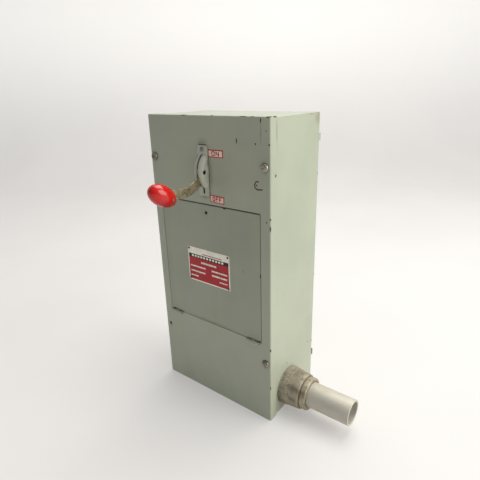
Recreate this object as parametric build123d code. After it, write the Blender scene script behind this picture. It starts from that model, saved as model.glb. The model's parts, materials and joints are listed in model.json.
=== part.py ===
from build123d import *
import os
from math import asin, cos, degrees, radians, sin, sqrt

# A wall-mounted, heavy-duty fused disconnect switch: three poles, 100 A, 600 V, outside-operated.
# Millimetres. x is to the right, z is up and the front faces -y. The wall is the plane y = 0.
# Heights are counted from the bottom of the box, and export() moves the origin to the wall
# bolts' centre.

# ---- Enclosure ----
COVER_W = 271.4            # over the cover's side flanges
BOX_H = 562.0              # over the cover's top flange
BOX_D = 158.65             # back sheet to cover face
RAIL_D = 6.0               # rails that hold the box off the wall
RAIL_H = 13.0
SHEET = 1.6
COVER_T = 1.9
COVER_FLANGE = 19.0
COVER_FIT = 0.4            # air between the cover's flange and the box
COVER_BEND_R = 2.2
LIP_SIDE = 18.0            # box's front lip, turned inwards
LIP_END = 15.0
BACK_Y = -RAIL_D
FRONT_Y = BACK_Y - BOX_D
COVER_BACK_Y = FRONT_Y + COVER_T
INSIDE_BACK_Y = BACK_Y - SHEET
BOX_HALF_W = COVER_W / 2 - COVER_T - COVER_FIT
BOX_TOP = BOX_H - COVER_T - COVER_FIT

# ---- Wall bolts: two rails, two holes in each ----
WALL_X = 100.0
WALL_Z = (65.0, 517.0)
WALL_HOLE_R = 4.4
ORIGIN_Z = sum(WALL_Z) / 2

# ---- Cover screws; the lower left one is lost ----
SCREW_X = 125.0
SCREW_Z = (126.5, 486.0)
SCREW_R = 3.0
SCREW_HEAD_R = 7.3
SCREW_HEAD_H = 4.6
SCREW_HOLE_R = 3.5
SCREW_L = 10.0
SCREW_ANGLES = (24.0, -38.0, 66.0)
NUT_HALF_W = 5.5
NUT_T = 5.0

# ---- Fuse door, hinged along its bottom edge ----
DOOR_OPEN_X = 116.3
DOOR_OPEN_Z = (166.5, 410.0)
DOOR_GAP = 1.1
DOOR_FLANGE = 10.0
DOOR_FLANGE_T = 1.5
DOOR_HOLE_Z = 394.0
DOOR_HOLE_R = 2.6
HINGE_X = (84.0, 111.4)
HINGE_Y = FRONT_Y - 3.0
HINGE_Z = 164.5
HINGE_R = 3.1
HINGE_PIN_R = 1.5
HINGE_LEAF_T = 1.5
HINGE_NOTCH = 0.6          # air beside each barrel
HINGE_FOOT_Z = 146.0
CATCH_X = 30.0
CATCH_HALF_W = 8.0
CATCH_D = 20.0
CATCH_FOOT_H = 11.0
CATCH_LEAF_T = 1.2
TONGUE_HALF_T = 1.0
TONGUE_L = 16.0
RUNNING = 0.05             # radial clearance of a pin that turns in its hole
MOVING = 0.3               # air beside a part that moves past another

# ---- Handle: lever, knob and guard, all on one line left of the middle ----
HANDLE_X = -3.0
PIVOT_Y = FRONT_Y + 19.6
PIVOT_Z = 469.0
GUARD_R = 36.5
GUARD_HALF_W = 10.5
GUARD_WALL = 2.0
GUARD_ROUND = 7.5
GUARD_FOOT_HALF_W = 11.7
GUARD_FOOT_Z = (425.0, 513.0)
GUARD_FOOT_T = 1.6
GUARD_SCREW_Z = 506.5
GUARD_SCREW_R = 2.0
SLOT_HALF_W = 2.0
SLOT_HALF_ANGLE = 51.0
SLOT_FOOT_Z = 429.5        # the slot runs on down through the foot, the cover and the frame
PADLOCK_R = 3.75           # right flank
PADLOCK_FAR_R = 4.2        # left flank, wider so that the shackle finds it
PADLOCK_Y = FRONT_Y - 8.8
LEVER_SLOT_HALF_W = 5.0
LEVER_SLOT_Z = (SLOT_FOOT_Z, PIVOT_Z + 26.0)
LEVER_T = 3.2
LEVER_W = 17.0
LEVER_HUB_R = 13.0
TANG_W = 11.0
KNOB_L = 58.0
KNOB_R = 17.4
KNOB_Y = FRONT_Y - 98.2
KNOB_Z = 445.4
KNOB_TILT = 33.0
KNOB_EGG = 0.06            # how much fuller the outer end is
KNOB_NECK_ANGLE = 16.0     # where the egg is cut off at the lever's end
KNOB_PIN_R = 2.0
KNOB_PIN_Y = FRONT_Y - 90.0
KNOB_PIN_Z = 439.0
KNOB_PIN_HALF_L = 15.8     # its ends stand just proud of the knob
SHAFT_R = 6.0
FRAME_HALF_W = 18.0
FRAME_T = 3.0
EAR_R = 14.0

# ---- Throw: the blades turn with the handle through an exact parallelogram ----
THROW = 60.0
ROTOR_Y = -72.0
ROTOR_Z = 420.0
CRANK_L = 28.0
CRANK_T = 3.0
CRANK_X = (84.0 - CRANK_T, 84.0)     # flush with the crossbar's right end, so the link clears it
LINK_X = (CRANK_X[1] + MOVING, CRANK_X[1] + MOVING + CRANK_T)
LINK_PIN_R = 3.0
LINK_END_R = 6.5
BRACKET_X = (60.0, 75.0)             # foot and ear of the shaft's right bearing
BRACKET_HALF_H = 20.0
BLADE_OFF = 30.0           # blade's angle above the front horizontal when open

# ---- Poles ----
POLE_X = (-70.0, 0.0, 70.0)
POLE_NAMES = ("left", "middle", "right")
BASE_HALF_W = 108.0
BASE_Y = (-36.0, -18.0)
SWITCH_BASE_Z = (345.0, 546.0)
FUSE_BASE_Z = (118.0, 206.0)
BLADE_T = 3.2
BLADE_W = 19.0
BLADE_R = 58.0
BLADE_PIN_R = 3.0
BLADE_PIN_HALF_L = 7.0
JAW_GAP = BLADE_T / 2 + MOVING
JAW_T = 2.2
STRAP_T = 3.0
STRAP_HALF_W = 10.0
STRAP_Y = (BASE_Y[0] - STRAP_T, BASE_Y[0])
HINGE_EAR_R = 11.0
JAW_Z = (466.0, 486.0)
JAW_Y = (-83.0, -60.5)
CLIP_FRONT_Y = -87.0
CLIP_STOP = 1.5            # a clip leaf ends this far short of the fuse's cap
LINE_STRAP_Z = (464.0, 541.0)
MIDDLE_STRAP_Z = (350.0, 434.0)
LOAD_STRAP_Z = (125.0, 203.0)
BASE_SCREW_X = 97.0
BASE_SCREW_INSET = 12.0
BASE_SCREW_R = 2.5
STANDOFF_R = 8.0
BARRIER_X = (-35.0, 35.0)
BARRIER_T = 3.0
BARRIER_Z = (400.0, 541.0)
BARRIER_FRONT_Y = -58.0
CROSSBAR_AT = 35.0
CROSSBAR_W = 12.0          # along the blades
CROSSBAR_D = 24.0          # across the blades, so that its slots are closed
CROSSBAR_HALF_L = CRANK_X[1]

# ---- Knife-blade fuses, 200 mm over the blades ----
FUSE_Y = -75.0
FUSE_Z = 278.0
FUSE_L = 200.0
FUSE_BLADE_L = 25.0
FUSE_BLADE_HALF_W = 9.5
FUSE_R = 14.3
FUSE_CAP_R = 14.9
FUSE_CAP_L = 22.0

# ---- Wire lugs ----
LUG_HALF_W = 11.0
LUG_D = 24.0
LUG_H = 30.0
LUG_BORE_R = 6.5
LUG_BORE_Y = STRAP_Y[0] - 13.5
LUG_SCREW_R = 4.5
LUG_SCREW_PROUD = 5.0
LUG_SCREW_TIP = 3.7        # from the front of the lug
LUG_SOCKET_R = 2.6
LINE_LUG_Z = 508.0
LOAD_LUG_Z = 128.0
GROUND_X = -95.0
GROUND_Z = 94.0
GROUND_HALF_W = 9.0
GROUND_HALF_H = 10.0
GROUND_D = 15.0
GROUND_BORE_R = 4.5
GROUND_SCREW_R = 3.0

# ---- Conduit entry: 1 1/2 in. rigid conduit in a threadless compression connector ----
CONDUIT_Y = FRONT_Y + 64.0
CONDUIT_Z = 45.0
CONDUIT_R = 24.13
CONDUIT_WALL = 3.68
CONDUIT_SEAT_R = 23.75     # drawn down by the compression ring inside the connector
CONDUIT_END_X = 271.3
HUB_BASE_R = 38.0
HUB_END_R = 34.3
HUB_END_X = 174.7
NUT_END_X = 187.7
NUT_R = 31.7
NIPPLE_R = 24.0
THROAT_R = 19.8
CONDUIT_STOP_X = 150.0
NIPPLE_END_X = 118.0
ENTRY_HOLE_R = 25.2
LOCKNUT_R = 32.0
LOCKNUT_T = 5.0
LOCKNUT_NOTCHES = 8

# ---- Labels and rating plate ----
ON_LABEL = ((9.0, 42.0), (494.0, 507.0))
OFF_LABEL = ((9.0, 41.0), (415.5, 428.5))
OFF_TILT = 2.5
LABEL_T = 0.5
PLATE_X = (-55.0, 47.5)
PLATE_Z = (251.5, 321.0)
PLATE_T = 0.9
PLATE_HOLE_INSET = 3.5
RIVET_R = 1.2
RIVET_HEAD_R = 2.1


def block(x, y, z):
    """Box between two corners, each axis given as (low, high)."""
    size = (x[1] - x[0], y[1] - y[0], z[1] - z[0])
    middle = ((x[0] + x[1]) / 2, (y[0] + y[1]) / 2, (z[0] + z[1]) / 2)
    return Pos(*middle) * Box(*size)


def rod_x(r, x, y, z):
    """Cylinder along x."""
    return Pos((x[0] + x[1]) / 2, y, z) * Rot(0, 90, 0) * Cylinder(r, x[1] - x[0])


def rod_y(r, x, y, z):
    """Cylinder along y."""
    return Pos(x, (y[0] + y[1]) / 2, z) * Rot(90, 0, 0) * Cylinder(r, y[1] - y[0])


def rod_z(r, x, y, z):
    """Cylinder along z."""
    return Pos(x, y, (z[0] + z[1]) / 2) * Cylinder(r, z[1] - z[0])


def swing(angle, r):
    """Offset (y, z) at a radius; 0 degrees is to the front and 90 is up."""
    return (-r * cos(radians(angle)), r * sin(radians(angle)))


def plate_x(x, circles):
    """Flat plate across x, hulled round circles given as (y, z, r)."""
    rims = [Pos(y, z) * Circle(r) for y, z, r in circles]
    outline = make_hull([edge for rim in rims for edge in rim.edges()])
    return Pos(x[0], 0, 0) * extrude(Plane.YZ * outline, x[1] - x[0])


def turned_x(points, x, y, z):
    """Ring or cone turned about a line along x, from (distance, radius) points."""
    profile = Plane.XZ * make_face(Polyline(*points, close=True))
    return Pos(x, y, z) * revolve(profile, Axis.X)


# ---- Enclosure ----
def make_back_box():
    """Steel box with a front lip, and holes for wall bolts, cover screws and the conduit."""
    front = COVER_BACK_Y
    outer = block((-BOX_HALF_W, BOX_HALF_W), (front, BACK_Y), (0, BOX_TOP))
    inner = block(
        (-BOX_HALF_W + SHEET, BOX_HALF_W - SHEET),
        (front + SHEET, BACK_Y - SHEET),
        (SHEET, BOX_TOP - SHEET),
    )
    mouth = block(
        (-BOX_HALF_W + LIP_SIDE, BOX_HALF_W - LIP_SIDE),
        (front - 1, front + SHEET + 1),
        (LIP_END, BOX_TOP - LIP_END),
    )
    box = outer - inner - mouth
    box -= rod_x(ENTRY_HOLE_R, (BOX_HALF_W - 5, BOX_HALF_W + 5), CONDUIT_Y, CONDUIT_Z)
    for z in WALL_Z:
        for x in (-WALL_X, WALL_X):
            box -= rod_y(WALL_HOLE_R, x, (BACK_Y - 5, BACK_Y + 5), z)
    for z in SCREW_Z:
        for x in (-SCREW_X, SCREW_X):
            box -= rod_y(SCREW_HOLE_R, x, (front - 5, front + 5), z)
    return box


def make_mounting_rails():
    """Two flat bars across the back, with the wall bolts' holes."""
    rails = []
    for z in WALL_Z:
        rail = block((-BOX_HALF_W, BOX_HALF_W), (BACK_Y, 0), (z - RAIL_H / 2, z + RAIL_H / 2))
        for x in (-WALL_X, WALL_X):
            rail -= rod_y(WALL_HOLE_R, x, (BACK_Y - 5, 5), z)
        rails.append(rail)
    return rails


def make_front_cover():
    """Pan-shaped cover with top and side flanges, the door's opening and the lever's slot."""
    half = COVER_W / 2
    pan = block((-half, half), (FRONT_Y, FRONT_Y + COVER_FLANGE), (MOVING, BOX_H))
    front_edges = pan.edges().group_by(Axis.Y)[0]
    bends = front_edges.sort_by(Axis.Z)[1:]
    top_edges = pan.edges().filter_by(Axis.Y).group_by(Axis.Z)[-1]
    pan = fillet([*bends, *top_edges], COVER_BEND_R)
    pan -= block(
        (-half + COVER_T, half - COVER_T),
        (COVER_BACK_Y, FRONT_Y + COVER_FLANGE + 1),
        (-1, BOX_H - COVER_T),
    )
    through = (FRONT_Y - 1, COVER_BACK_Y + 1)
    pan -= block((-DOOR_OPEN_X, DOOR_OPEN_X), through, DOOR_OPEN_Z)
    for side in (-1, 1):
        pan -= block(hinge_notch(side), through, (HINGE_Z - HINGE_R, DOOR_OPEN_Z[0] + 1))
        for z in SCREW_Z:
            pan -= rod_y(SCREW_HOLE_R, side * SCREW_X, through, z)
    pan -= block(lever_slot_x(), through, LEVER_SLOT_Z)
    return pan - rod_y(GUARD_SCREW_R, HANDLE_X, through, GUARD_SCREW_Z)


def lever_slot_x():
    """Width of the lever's slot through the cover and the frame."""
    return (HANDLE_X - LEVER_SLOT_HALF_W, HANDLE_X + LEVER_SLOT_HALF_W)


def hinge_notch(side):
    """Width of the notch that a hinge barrel sits in."""
    return sorted((side * (HINGE_X[0] - HINGE_NOTCH), side * (HINGE_X[1] + HINGE_NOTCH)))


def round_head_screw(r, head_r, head_h, length, slot_angle):
    """Slotted round-head screw along y, head at the front, seated at y = 0."""
    head = rod_y(head_r, 0, (-head_h, 0), 0)
    rim = head.edges().group_by(Axis.Y)[0]
    head = fillet(rim, head_h * 0.78)
    slot = block((-head_r, head_r), (-head_h - 1, -head_h * 0.58), (-head_r * 0.11, head_r * 0.11))
    head -= Rot(0, slot_angle, 0) * slot
    return head + rod_y(r, 0, (-0.2, length), 0)


def make_cover_screws():
    """Three slotted screws, each left at its own angle."""
    places = ((-SCREW_X, SCREW_Z[1]), (SCREW_X, SCREW_Z[1]), (SCREW_X, SCREW_Z[0]))
    return [
        Pos(x, FRONT_Y, z) * round_head_screw(SCREW_R, SCREW_HEAD_R, SCREW_HEAD_H, SCREW_L, angle)
        for (x, z), angle in zip(places, SCREW_ANGLES)
    ]


def make_cover_nuts():
    """Square weld nuts behind the box's lip."""
    nuts = []
    start = COVER_BACK_Y + SHEET
    for z in SCREW_Z:
        for x in (-SCREW_X, SCREW_X):
            square_x = (x - NUT_HALF_W, x + NUT_HALF_W)
            nut = block(square_x, (start, start + NUT_T), (z - NUT_HALF_W, z + NUT_HALF_W))
            nuts.append(nut - rod_y(SCREW_R, x, (start - 1, start + NUT_T + 1), z))
    return nuts


# ---- Handle guard, frame and labels ----
def quadrant(half_w, r, corner):
    """Solid swept about the handle's pivot: a round-cornered rim turned about x."""
    rim = Rectangle(2 * half_w, r, align=(Align.CENTER, Align.MIN))
    rim = fillet(rim.vertices().group_by(Axis.Y)[-1], corner)
    return Pos(HANDLE_X, PIVOT_Y, PIVOT_Z) * revolve(Plane.XZ * rim, Axis.X)


def make_handle_guard():
    """Raised hollow guard on a flat foot, with the lever's slot, a padlock hole and a screw."""
    front = block((-60, 60), (FRONT_Y - 60, FRONT_Y), (PIVOT_Z - 80, PIVOT_Z + 80))
    shell = quadrant(GUARD_HALF_W, GUARD_R, GUARD_ROUND) & front
    foot_x = (HANDLE_X - GUARD_FOOT_HALF_W, HANDLE_X + GUARD_FOOT_HALF_W)
    foot = block(foot_x, (FRONT_Y - GUARD_FOOT_T, FRONT_Y), GUARD_FOOT_Z)
    foot = fillet(foot.edges().filter_by(Axis.Y), 3.0)
    guard = shell + foot
    inner = quadrant(GUARD_HALF_W - GUARD_WALL, GUARD_R - GUARD_WALL, GUARD_ROUND - GUARD_WALL)
    guard -= inner
    slot_z = GUARD_R * sin(radians(SLOT_HALF_ANGLE))
    guard -= block(
        (HANDLE_X - SLOT_HALF_W, HANDLE_X + SLOT_HALF_W),
        (FRONT_Y - 60, FRONT_Y + 1),
        (SLOT_FOOT_Z, PIVOT_Z + slot_z),
    )
    guard -= rod_x(PADLOCK_R, (HANDLE_X, HANDLE_X + 30), PADLOCK_Y, PIVOT_Z)
    guard -= rod_x(PADLOCK_FAR_R, (HANDLE_X - 30, HANDLE_X), PADLOCK_Y, PIVOT_Z)
    return guard - rod_y(GUARD_SCREW_R, HANDLE_X, (FRONT_Y - 10, FRONT_Y + 1), GUARD_SCREW_Z)


def make_guard_screw():
    """Small screw through the guard's upper tab, the cover and the mechanism frame."""
    seat = FRONT_Y - GUARD_FOOT_T
    return Pos(HANDLE_X, seat, GUARD_SCREW_Z) * round_head_screw(GUARD_SCREW_R, 3.9, 2.4, 9, 15)


def shaft_ear(x):
    """Upright ear behind the cover, bored for the handle's shaft."""
    ear = plate_x(x, ((PIVOT_Y, PIVOT_Z, EAR_R), (PIVOT_Y - 8, PIVOT_Z, EAR_R + 6)))
    ear &= block((x[0] - 1, x[1] + 1), (COVER_BACK_Y, PIVOT_Y + 50), (PIVOT_Z - 50, PIVOT_Z + 50))
    return ear - rod_x(SHAFT_R + RUNNING, (x[0] - 1, x[1] + 1), PIVOT_Y, PIVOT_Z)


def make_mechanism_frame():
    """Bent steel frame behind the cover, with two ears that carry the handle's shaft."""
    low, high = HANDLE_X - FRAME_HALF_W, HANDLE_X + FRAME_HALF_W
    back = (COVER_BACK_Y, COVER_BACK_Y + FRAME_T)
    through = (back[0] - 1, back[1] + 1)
    frame = block((low, high), back, GUARD_FOOT_Z)
    frame -= block(lever_slot_x(), through, LEVER_SLOT_Z)
    frame -= rod_y(GUARD_SCREW_R, HANDLE_X, through, GUARD_SCREW_Z)
    return frame + shaft_ear((low, low + FRAME_T)) + shaft_ear((high - FRAME_T, high))


def make_shaft_bracket():
    """Right bearing of the shaft: an ear on a foot that is welded behind the cover."""
    height = (PIVOT_Z - BRACKET_HALF_H, PIVOT_Z + BRACKET_HALF_H)
    foot = block(BRACKET_X, (COVER_BACK_Y, COVER_BACK_Y + FRAME_T), height)
    return foot + shaft_ear((BRACKET_X[1] - FRAME_T, BRACKET_X[1]))


def make_label(x, z, tilt):
    """Thin label with rounded corners, stuck on the cover."""
    label = block(x, (FRONT_Y - LABEL_T, FRONT_Y), z)
    label = fillet(label.edges().filter_by(Axis.Y), 1.2)
    middle = ((x[0] + x[1]) / 2, FRONT_Y, (z[0] + z[1]) / 2)
    return label.rotate(Axis(middle, (0, 1, 0)), tilt)


# ---- Handle ----
def make_handle_lever():
    """Flat steel lever: round hub, one long bend, then a narrow tang inside the knob."""
    root = Vector(HANDLE_X, PIVOT_Y, PIVOT_Z)
    knee = Vector(HANDLE_X, FRONT_Y - 38.5, 440.0)
    end = Vector(HANDLE_X, FRONT_Y - 80.0, 441.8)
    tip = Vector(HANDLE_X, FRONT_Y - 97.0, 441.0)
    path = FilletPolyline(root, knee, end, radius=60)
    start = Plane(path @ 0, x_dir=(1, 0, 0), z_dir=path % 0)
    bar = sweep(start * Rectangle(LEVER_T, LEVER_W), path)
    x = (HANDLE_X - LEVER_T / 2, HANDLE_X + LEVER_T / 2)
    bar += rod_x(LEVER_HUB_R, x, PIVOT_Y, PIVOT_Z)
    bar += plate_x(x, ((end.Y + 3, end.Z, TANG_W / 2), (tip.Y, tip.Z, TANG_W / 2)))
    return bar - rod_x(SHAFT_R, (x[0] - 1, x[1] + 1), PIVOT_Y, PIVOT_Z)


def make_handle_knob(lever, pin):
    """Egg-shaped knob on the lever's tang, full end outwards."""
    half = KNOB_L / 2
    steps = 12
    points = []
    for i in range(steps + 1):
        along = cos(radians(180 - KNOB_NECK_ANGLE) * i / steps)
        swell = sqrt(max(0.0, 1 - along * along)) * (1 + KNOB_EGG * along - KNOB_EGG / 2)
        points.append((half * along, KNOB_R * swell))
    neck = points[-1]
    neck_angle = radians(KNOB_NECK_ANGLE)
    neck_slope = (-half * sin(neck_angle), -KNOB_R * cos(neck_angle))
    outline = Spline(*points, tangents=((0, 1), neck_slope))
    closing = Polyline(neck, (neck[0], 0.0), points[0])
    profile = Plane.XZ * make_face([*outline.edges(), *closing.edges()])
    knob = revolve(profile, Axis.X)
    lean = Rot(0, 0, -90)
    knob = Pos(HANDLE_X, KNOB_Y, KNOB_Z) * Rot(-KNOB_TILT, 0, 0) * lean * knob
    return knob - lever - pin


def make_knob_pin():
    """Cross pin through the knob's neck and the lever's tang."""
    span = (HANDLE_X - KNOB_PIN_HALF_L, HANDLE_X + KNOB_PIN_HALF_L)
    return rod_x(KNOB_PIN_R, span, KNOB_PIN_Y, KNOB_PIN_Z)


def crank_pin_place(pivot_y, pivot_z):
    """Where a crank's pin is when the switch is off."""
    link_angle = 180 + degrees(asin((PIVOT_Z - ROTOR_Z) / link_length()))
    dy, dz = swing(link_angle - 90 - THROW / 2, CRANK_L)
    return pivot_y + dy, pivot_z + dz


def link_length():
    """The link is as long as the two pivots are apart."""
    return sqrt((ROTOR_Y - PIVOT_Y) ** 2 + (PIVOT_Z - ROTOR_Z) ** 2)


def make_handle_shaft():
    """Round shaft in the frame's and the bracket's ears, from the lever to the crank."""
    return rod_x(SHAFT_R, (HANDLE_X - FRAME_HALF_W - 3, CRANK_X[1] + 2), PIVOT_Y, PIVOT_Z)


def make_crank_pin(y, z):
    """Pin with a flat head, through a crank and the link."""
    pin = rod_x(LINK_PIN_R, (CRANK_X[0] - 1, LINK_X[1] + 1), y, z)
    return pin + rod_x(LINK_PIN_R + 2, (LINK_X[1] + MOVING, LINK_X[1] + 2), y, z)


def make_handle_crank():
    """Crank on the shaft's right end."""
    pin_y, pin_z = crank_pin_place(PIVOT_Y, PIVOT_Z)
    crank = plate_x(CRANK_X, ((PIVOT_Y, PIVOT_Z, SHAFT_R + 3.5), (pin_y, pin_z, LINK_END_R)))
    crank -= rod_x(SHAFT_R, (CRANK_X[0] - 1, CRANK_X[1] + 1), PIVOT_Y, PIVOT_Z)
    return crank - rod_x(LINK_PIN_R, (CRANK_X[0] - 1, CRANK_X[1] + 1), pin_y, pin_z)


def make_drive_link():
    """Straight link between the cranks; the rotor's end has the wider hole."""
    top = crank_pin_place(PIVOT_Y, PIVOT_Z)
    low = crank_pin_place(ROTOR_Y, ROTOR_Z)
    link = plate_x(LINK_X, ((*top, LINK_END_R), (*low, LINK_END_R)))
    bore = (LINK_X[0] - 1, LINK_X[1] + 1)
    link -= rod_x(LINK_PIN_R + RUNNING, bore, *top)
    return link - rod_x(LINK_PIN_R + MOVING, bore, *low)


def make_handle_spring():
    """Torsion spring round the shaft, between the frame's left ear and the lever."""
    turns = 4
    pitch = 2.4
    coil_r = 9.0
    helix = Helix(pitch, turns * pitch, coil_r)
    start = Plane(helix @ 0, z_dir=helix % 0)
    coil = sweep(start * Circle(1.0), helix)
    return Pos(HANDLE_X - 14.0, PIVOT_Y, PIVOT_Z) * Rot(0, 90, 0) * coil


# ---- Switch poles ----
def make_switch_blades():
    """One copper knife blade for each pole, swung open."""
    blades = []
    for pole in POLE_X:
        x = (pole - BLADE_T / 2, pole + BLADE_T / 2)
        tip_y, tip_z = swing(BLADE_OFF, BLADE_R - BLADE_W / 2)
        ends = ((ROTOR_Y, ROTOR_Z, BLADE_W / 2), (ROTOR_Y + tip_y, ROTOR_Z + tip_z, BLADE_W / 2))
        bore = rod_x(BLADE_PIN_R, (x[0] - 1, x[1] + 1), ROTOR_Y, ROTOR_Z)
        blades.append(plate_x(x, ends) - bore)
    return blades


def make_blade_pins():
    """Pin through each blade's foot and its two contact ears."""
    half = BLADE_PIN_HALF_L
    return [rod_x(BLADE_PIN_R, (pole - half, pole + half), ROTOR_Y, ROTOR_Z) for pole in POLE_X]


def make_crossbar(blades):
    """Square insulating bar that all the blades pass through."""
    dy, dz = swing(BLADE_OFF, CROSSBAR_AT)
    bar = Rot(-BLADE_OFF, 0, 0) * Box(2 * CROSSBAR_HALF_L, CROSSBAR_W, CROSSBAR_D)
    bar = Pos(0, ROTOR_Y + dy, ROTOR_Z + dz) * bar
    for blade in blades:
        bar -= blade
    return bar


def make_rotor_crank(crossbar):
    """Crank plate clamped on the crossbar's right end."""
    dy, dz = swing(BLADE_OFF, CROSSBAR_AT)
    pin_y, pin_z = crank_pin_place(ROTOR_Y, ROTOR_Z)
    clamp_r = CROSSBAR_D / 2 + 4.5
    corners = ((ROTOR_Y + dy, ROTOR_Z + dz, clamp_r), (pin_y, pin_z, LINK_END_R))
    crank = plate_x(CRANK_X, corners) - crossbar
    return crank - rod_x(LINK_PIN_R, (CRANK_X[0] - 1, CRANK_X[1] + 1), pin_y, pin_z)


def paired_leaves(pole, y, z):
    """Two spring leaves with a blade's gap between them."""
    right = block((pole + JAW_GAP, pole + JAW_GAP + JAW_T), y, z)
    left = block((pole - JAW_GAP - JAW_T, pole - JAW_GAP), y, z)
    return left + right


def make_line_jaws():
    """Upper contact of each pole: strap, root block and two jaw leaves."""
    jaws = []
    for pole in POLE_X:
        x = (pole - STRAP_HALF_W, pole + STRAP_HALF_W)
        jaw = block(x, STRAP_Y, LINE_STRAP_Z)
        root_x = (pole - JAW_GAP - JAW_T, pole + JAW_GAP + JAW_T)
        jaw += block(root_x, (JAW_Y[1], STRAP_Y[0]), JAW_Z)
        jaws.append(jaw + paired_leaves(pole, JAW_Y, JAW_Z))
    return jaws


def make_hinge_contacts():
    """Middle contact of each pole: blade hinge ears above, fuse clip below."""
    contacts = []
    fuse_top = FUSE_Z + FUSE_L / 2
    clip_z = (fuse_top - FUSE_BLADE_L + CLIP_STOP, fuse_top)
    ear_z = (ROTOR_Z - HINGE_EAR_R, ROTOR_Z + HINGE_EAR_R)
    root_y = STRAP_Y[0] - HINGE_EAR_R
    for pole in POLE_X:
        contact = block((pole - STRAP_HALF_W, pole + STRAP_HALF_W), STRAP_Y, MIDDLE_STRAP_Z)
        for side in (-1, 1):
            ear_x = sorted((pole + side * JAW_GAP, pole + side * (JAW_GAP + JAW_T)))
            ends = ((ROTOR_Y, ROTOR_Z, HINGE_EAR_R), (root_y, ROTOR_Z, HINGE_EAR_R))
            contact += plate_x(ear_x, ends) + block(ear_x, (root_y, STRAP_Y[0]), ear_z)
        contact += paired_leaves(pole, (CLIP_FRONT_Y, STRAP_Y[0]), clip_z)
        contact -= rod_x(BLADE_PIN_R + RUNNING, (pole - 9, pole + 9), ROTOR_Y, ROTOR_Z)
        contacts.append(contact)
    return contacts


def make_lower_fuse_clips():
    """Lower contact of each pole: strap, fuse clip and seat for the load lug."""
    clips = []
    fuse_bottom = FUSE_Z - FUSE_L / 2
    clip_z = (fuse_bottom, fuse_bottom + FUSE_BLADE_L - CLIP_STOP)
    for pole in POLE_X:
        clip = block((pole - STRAP_HALF_W, pole + STRAP_HALF_W), STRAP_Y, LOAD_STRAP_Z)
        clips.append(clip + paired_leaves(pole, (CLIP_FRONT_Y, STRAP_Y[0]), clip_z))
    return clips


# ---- Wire lugs ----
def lug_screw(pole, z):
    """Hex-socket set screw of a lug."""
    head_y = STRAP_Y[0] - LUG_D - LUG_SCREW_PROUD
    middle_z = z + LUG_H / 2
    screw = rod_y(LUG_SCREW_R, pole, (head_y, STRAP_Y[0] - LUG_D + LUG_SCREW_TIP), middle_z)
    socket_d = 4.0
    socket = extrude(Plane.XZ * RegularPolygon(LUG_SOCKET_R, 6), socket_d)
    return screw - Pos(pole, head_y + socket_d, middle_z) * socket


def make_lugs(z):
    """Aluminium wire lugs: upright bore for the wire, set screw from the front."""
    lugs = []
    for pole in POLE_X:
        x = (pole - LUG_HALF_W, pole + LUG_HALF_W)
        lug = block(x, (STRAP_Y[0] - LUG_D, STRAP_Y[0]), (z, z + LUG_H))
        lug = fillet(lug.edges().filter_by(Axis.Z).group_by(Axis.Y)[0], 5.0)
        lug -= rod_z(LUG_BORE_R, pole, LUG_BORE_Y, (z - 1, z + LUG_H + 1))
        lug -= rod_y(LUG_SCREW_R, pole, (STRAP_Y[0] - LUG_D - 1, LUG_BORE_Y), z + LUG_H / 2)
        lugs.append(lug)
    return lugs


# ---- Insulating bases ----
def make_base(z):
    """Moulded insulating base with four screw holes."""
    base = block((-BASE_HALF_W, BASE_HALF_W), BASE_Y, z)
    base = chamfer(base.faces().sort_by(Axis.Y)[0].edges(), 2.0)
    for x, hole_z in base_screw_places(z):
        base -= rod_y(BASE_SCREW_R, x, (BASE_Y[0] - 1, BASE_Y[1] + 1), hole_z)
    return base


def base_screw_places(z):
    """Screw centres near a base's corners."""
    heights = (z[0] + BASE_SCREW_INSET, z[1] - BASE_SCREW_INSET)
    return [(x, hole_z) for x in (-BASE_SCREW_X, BASE_SCREW_X) for hole_z in heights]


def make_base_screws():
    """Screws from each base into its standoffs."""
    places = base_screw_places(SWITCH_BASE_Z) + base_screw_places(FUSE_BASE_Z)
    screw = round_head_screw(BASE_SCREW_R, 5.0, 3.2, BASE_Y[1] - BASE_Y[0] + 8, 40)
    return [Pos(x, BASE_Y[0], z) * screw for x, z in places]


def make_base_standoffs():
    """Steel spacers between the bases and the back sheet."""
    places = base_screw_places(SWITCH_BASE_Z) + base_screw_places(FUSE_BASE_Z)
    span = (BASE_Y[1], INSIDE_BACK_Y)
    hole = (span[0] - 1, span[0] + 8)
    return [rod_y(STANDOFF_R, x, span, z) - rod_y(BASE_SCREW_R, x, hole, z) for x, z in places]


def make_phase_barriers():
    """Insulating fins between the poles, glued on the switch base's face."""
    half = BARRIER_T / 2
    return [block((x - half, x + half), (BARRIER_FRONT_Y, BASE_Y[0]), BARRIER_Z) for x in BARRIER_X]


# ---- Fuses ----
def make_fuse_tube(pole):
    """Fibre tube of a fuse."""
    half = FUSE_L / 2 - FUSE_BLADE_L - 2
    return rod_z(FUSE_R, pole, FUSE_Y, (FUSE_Z - half, FUSE_Z + half))


def make_fuse_ends(pole, tube):
    """Copper end caps with knife blades."""
    ends = []
    for side in (-1, 1):
        cap_end = FUSE_Z + side * (FUSE_L / 2 - FUSE_BLADE_L)
        cap_z = sorted((cap_end, cap_end - side * FUSE_CAP_L))
        blade_z = sorted((cap_end - side, FUSE_Z + side * FUSE_L / 2))
        blade_x = (pole - BLADE_T / 2, pole + BLADE_T / 2)
        blade_y = (FUSE_Y - FUSE_BLADE_HALF_W, FUSE_Y + FUSE_BLADE_HALF_W)
        blade = block(blade_x, blade_y, blade_z)
        ends.append(rod_z(FUSE_CAP_R, pole, FUSE_Y, cap_z) + blade - tube)
    return ends


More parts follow.
